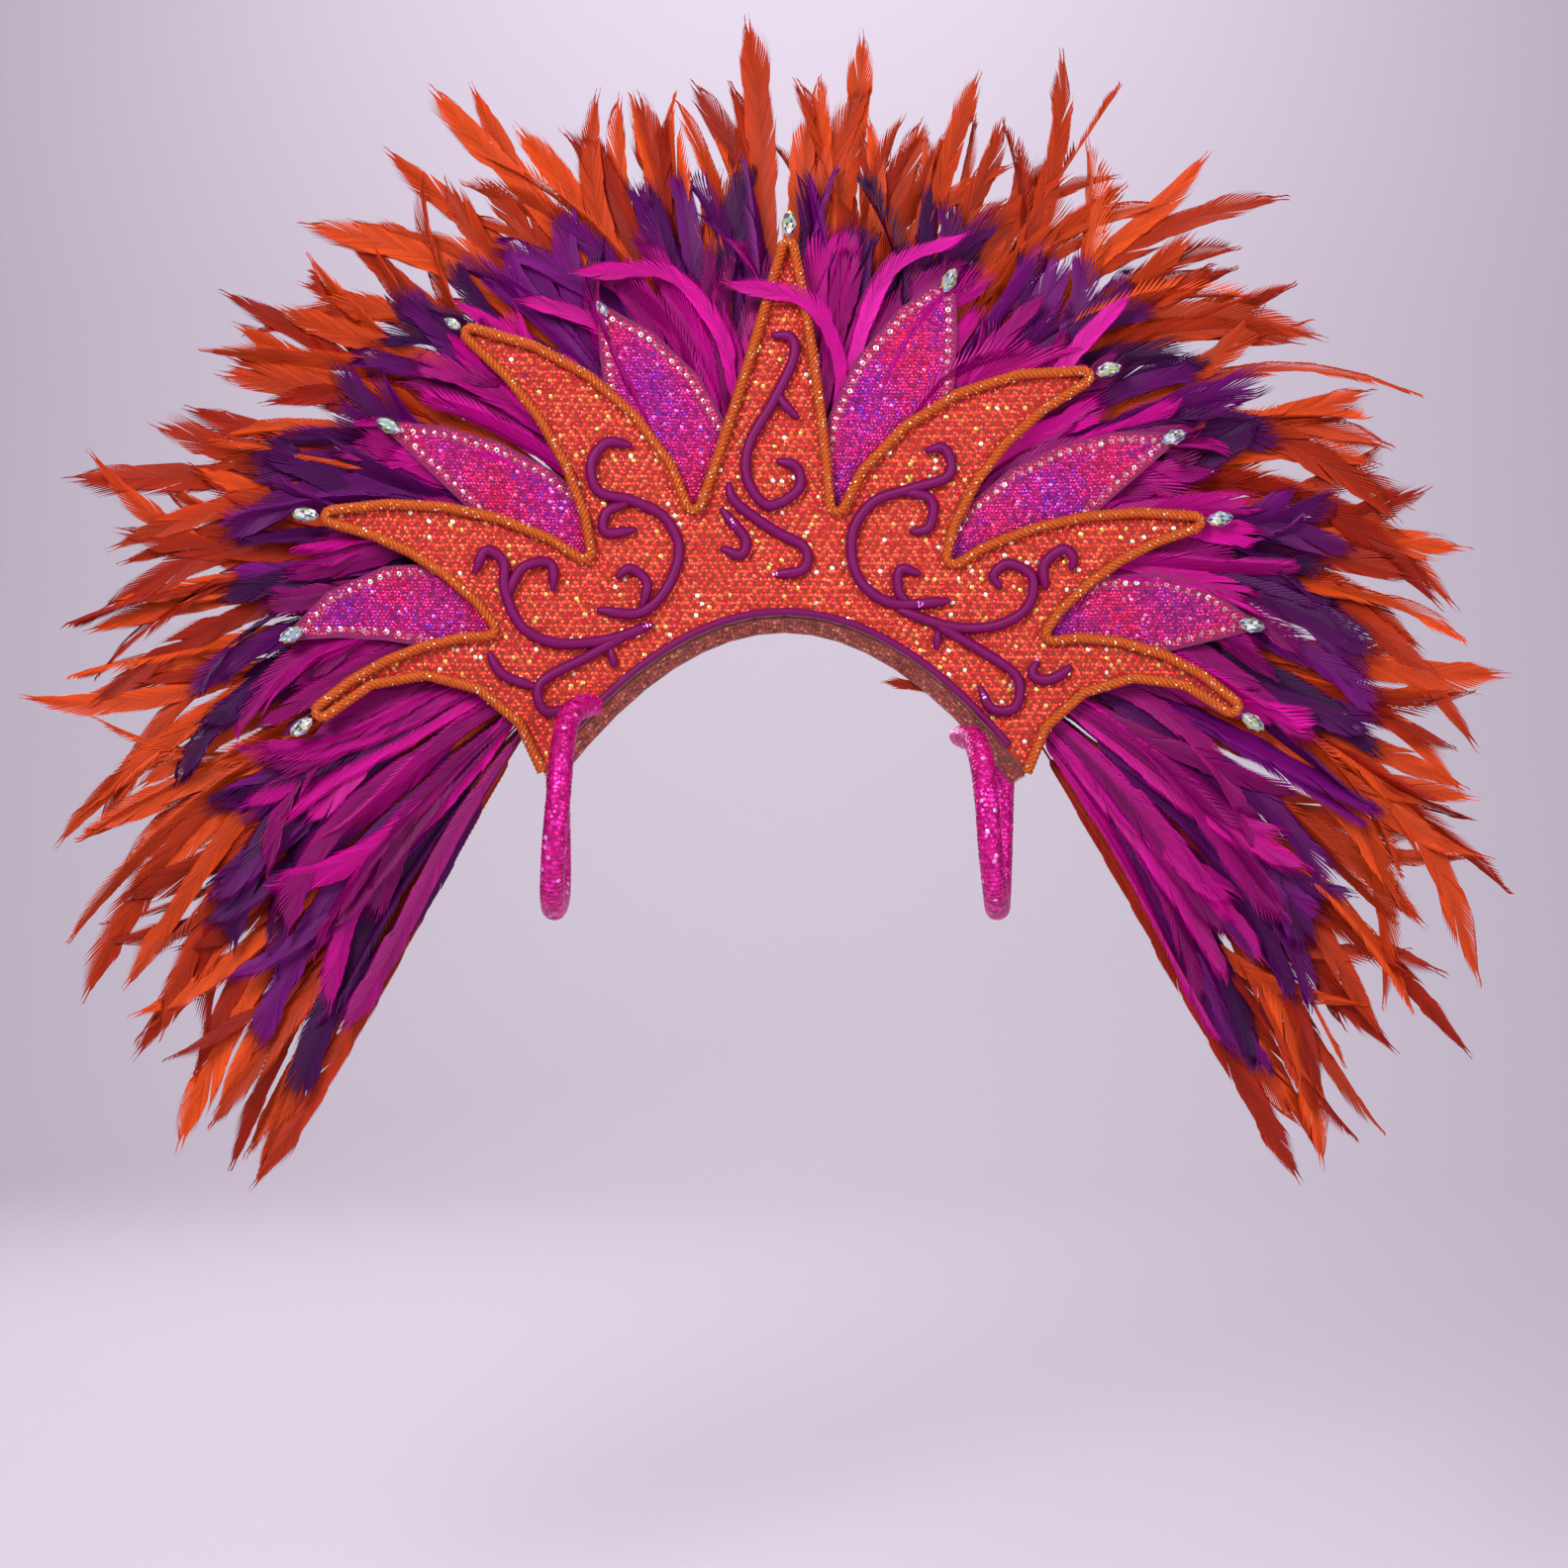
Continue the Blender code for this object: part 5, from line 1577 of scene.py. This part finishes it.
# Scroll cords in the panel's shares: each stroke is a smooth line through a few (across, up) pairs
SCROLLS = {
    "scroll_centre_high": (
        ((-0.009, 0.834), (0.013, 0.830), (0.016, 0.790), (-0.006, 0.709), (-0.033, 0.629),
         (-0.036, 0.561), (-0.012, 0.510), (0.022, 0.541), (0.019, 0.584), (-0.003, 0.595)),
        ((-0.002, 0.728), (0.006, 0.703), (0.022, 0.675)),
    ),
    "scroll_centre_middle": (
        ((-0.057, 0.554), (-0.049, 0.516), (-0.006, 0.463), (0.028, 0.431), (0.028, 0.389),
         (-0.006, 0.378)),
    ),
    "scroll_centre_small": (
        ((-0.065, 0.505), (-0.055, 0.482), (-0.038, 0.446), (-0.042, 0.416), (-0.066, 0.429)),
    ),
    "scroll_left_high": (
        ((-0.164, 0.622), (-0.192, 0.628), (-0.210, 0.588), (-0.202, 0.535), (-0.164, 0.518),
         (-0.128, 0.486), (-0.112, 0.422), (-0.128, 0.346), (-0.158, 0.304), (-0.204, 0.310)),
        ((-0.168, 0.514), (-0.193, 0.495), (-0.194, 0.457), (-0.159, 0.463)),
        ((-0.183, 0.371), (-0.166, 0.389), (-0.148, 0.361), (-0.154, 0.315)),
    ),
    "scroll_left_low": (
        ((-0.339, 0.376), (-0.326, 0.420), (-0.307, 0.399), (-0.305, 0.342), (-0.286, 0.276),
         (-0.246, 0.246), (-0.187, 0.255), (-0.141, 0.284)),
        ((-0.304, 0.331), (-0.286, 0.388), (-0.255, 0.397), (-0.252, 0.344)),
        ((-0.163, 0.270), (-0.214, 0.221), (-0.266, 0.170), (-0.261, 0.117), (-0.226, 0.127)),
        ((-0.323, 0.229), (-0.308, 0.187), (-0.270, 0.162)),
        ((-0.189, 0.240), (-0.184, 0.200)),
    ),
    "scroll_right_high": (
        ((0.163, 0.612), (0.186, 0.616), (0.190, 0.565), (0.148, 0.541), (0.106, 0.516),
         (0.082, 0.454), (0.089, 0.371), (0.128, 0.323), (0.192, 0.327)),
        ((0.136, 0.537), (0.170, 0.520), (0.168, 0.467), (0.146, 0.459)),
        ((0.159, 0.378), (0.136, 0.388), (0.134, 0.346), (0.147, 0.319)),
        ((0.248, 0.350), (0.239, 0.374), (0.256, 0.397), (0.282, 0.372), (0.277, 0.314),
         (0.243, 0.280), (0.193, 0.278), (0.132, 0.312)),
        ((0.172, 0.286), (0.225, 0.233), (0.265, 0.183), (0.264, 0.125), (0.237, 0.123),
         (0.224, 0.166)),
        ((0.178, 0.272), (0.176, 0.233)),
    ),
    "scroll_right_side": (
        ((0.297, 0.346), (0.295, 0.393), (0.316, 0.423), (0.327, 0.406), (0.325, 0.382)),
    ),
    "scroll_right_hook": (
        ((0.288, 0.214), (0.282, 0.187), (0.296, 0.176), (0.313, 0.185), (0.325, 0.204)),
    ),
}

# The longest orange tips: bearing from the fan's centre in degrees, reach as a share of its radius
ORANGE_TIPS = (
    (205.5, 0.97), (199.1, 1.00), (194.7, 0.99), (187.3, 0.985), (175.6, 1.02), (174.1, 0.955), (169.7, 0.97),
    (158.4, 1.02), (156.4, 1.02), (145.2, 0.96), (140.4, 0.99), (131.7, 0.98), (122.9, 1.00), (117.2, 1.04),
    (114.6, 1.03), (105.8, 0.96), (102.8, 0.945), (97.0, 0.95), (92.4, 1.03), (86.5, 0.95), (83.4, 1.02),
    (73.6, 0.99), (68.0, 1.06), (63.2, 1.05), (54.6, 1.02), (48.4, 1.04), (42.0, 0.955), (29.6, 1.00),
    (16.3, 0.965), (5.7, 0.975), (-0.9, 0.91), (-9.0, 0.97), (-10.5, 1.00), (-17.8, 1.00), (-23.0, 1.03),
    (-32.4, 0.98), (-38.0, 0.94), (213.2, 0.985), (220.8, 0.94), (226.7, 0.91),
)


def main() -> None:
    """Builds the studio and every piece of the collar."""
    logging.basicConfig(level=logging.INFO, format="%(message)s")
    Studio().build()
    CrownPanel().build()
    Petals().build()
    ScrollCords(strokes=SCROLLS).build()
    Stones().build()
    Harness().build()
    rows = (
        FeatherRow(Layer.MAGENTA, 0.73, 20, 0.034, 0.0101, 0.006,
                   (linear(128, 0, 96), linear(226, 0, 160)), 0.08),
        FeatherRow(Layer.PURPLE, 0.82, 20, 0.036, 0.0204, 0.022,
                   (linear(58, 0, 66), linear(124, 4, 122)), 0.07, bare=0.30),
        FeatherRow(Layer.ORANGE, 1.00, 30, 0.032, 0.0307, 0.038,
                   (linear(160, 26, 4), linear(244, 88, 28)), 0.07, ORANGE_TIPS),
    )
    FeatherFan(rows=rows).build()


if __name__ == "__main__":
    main()
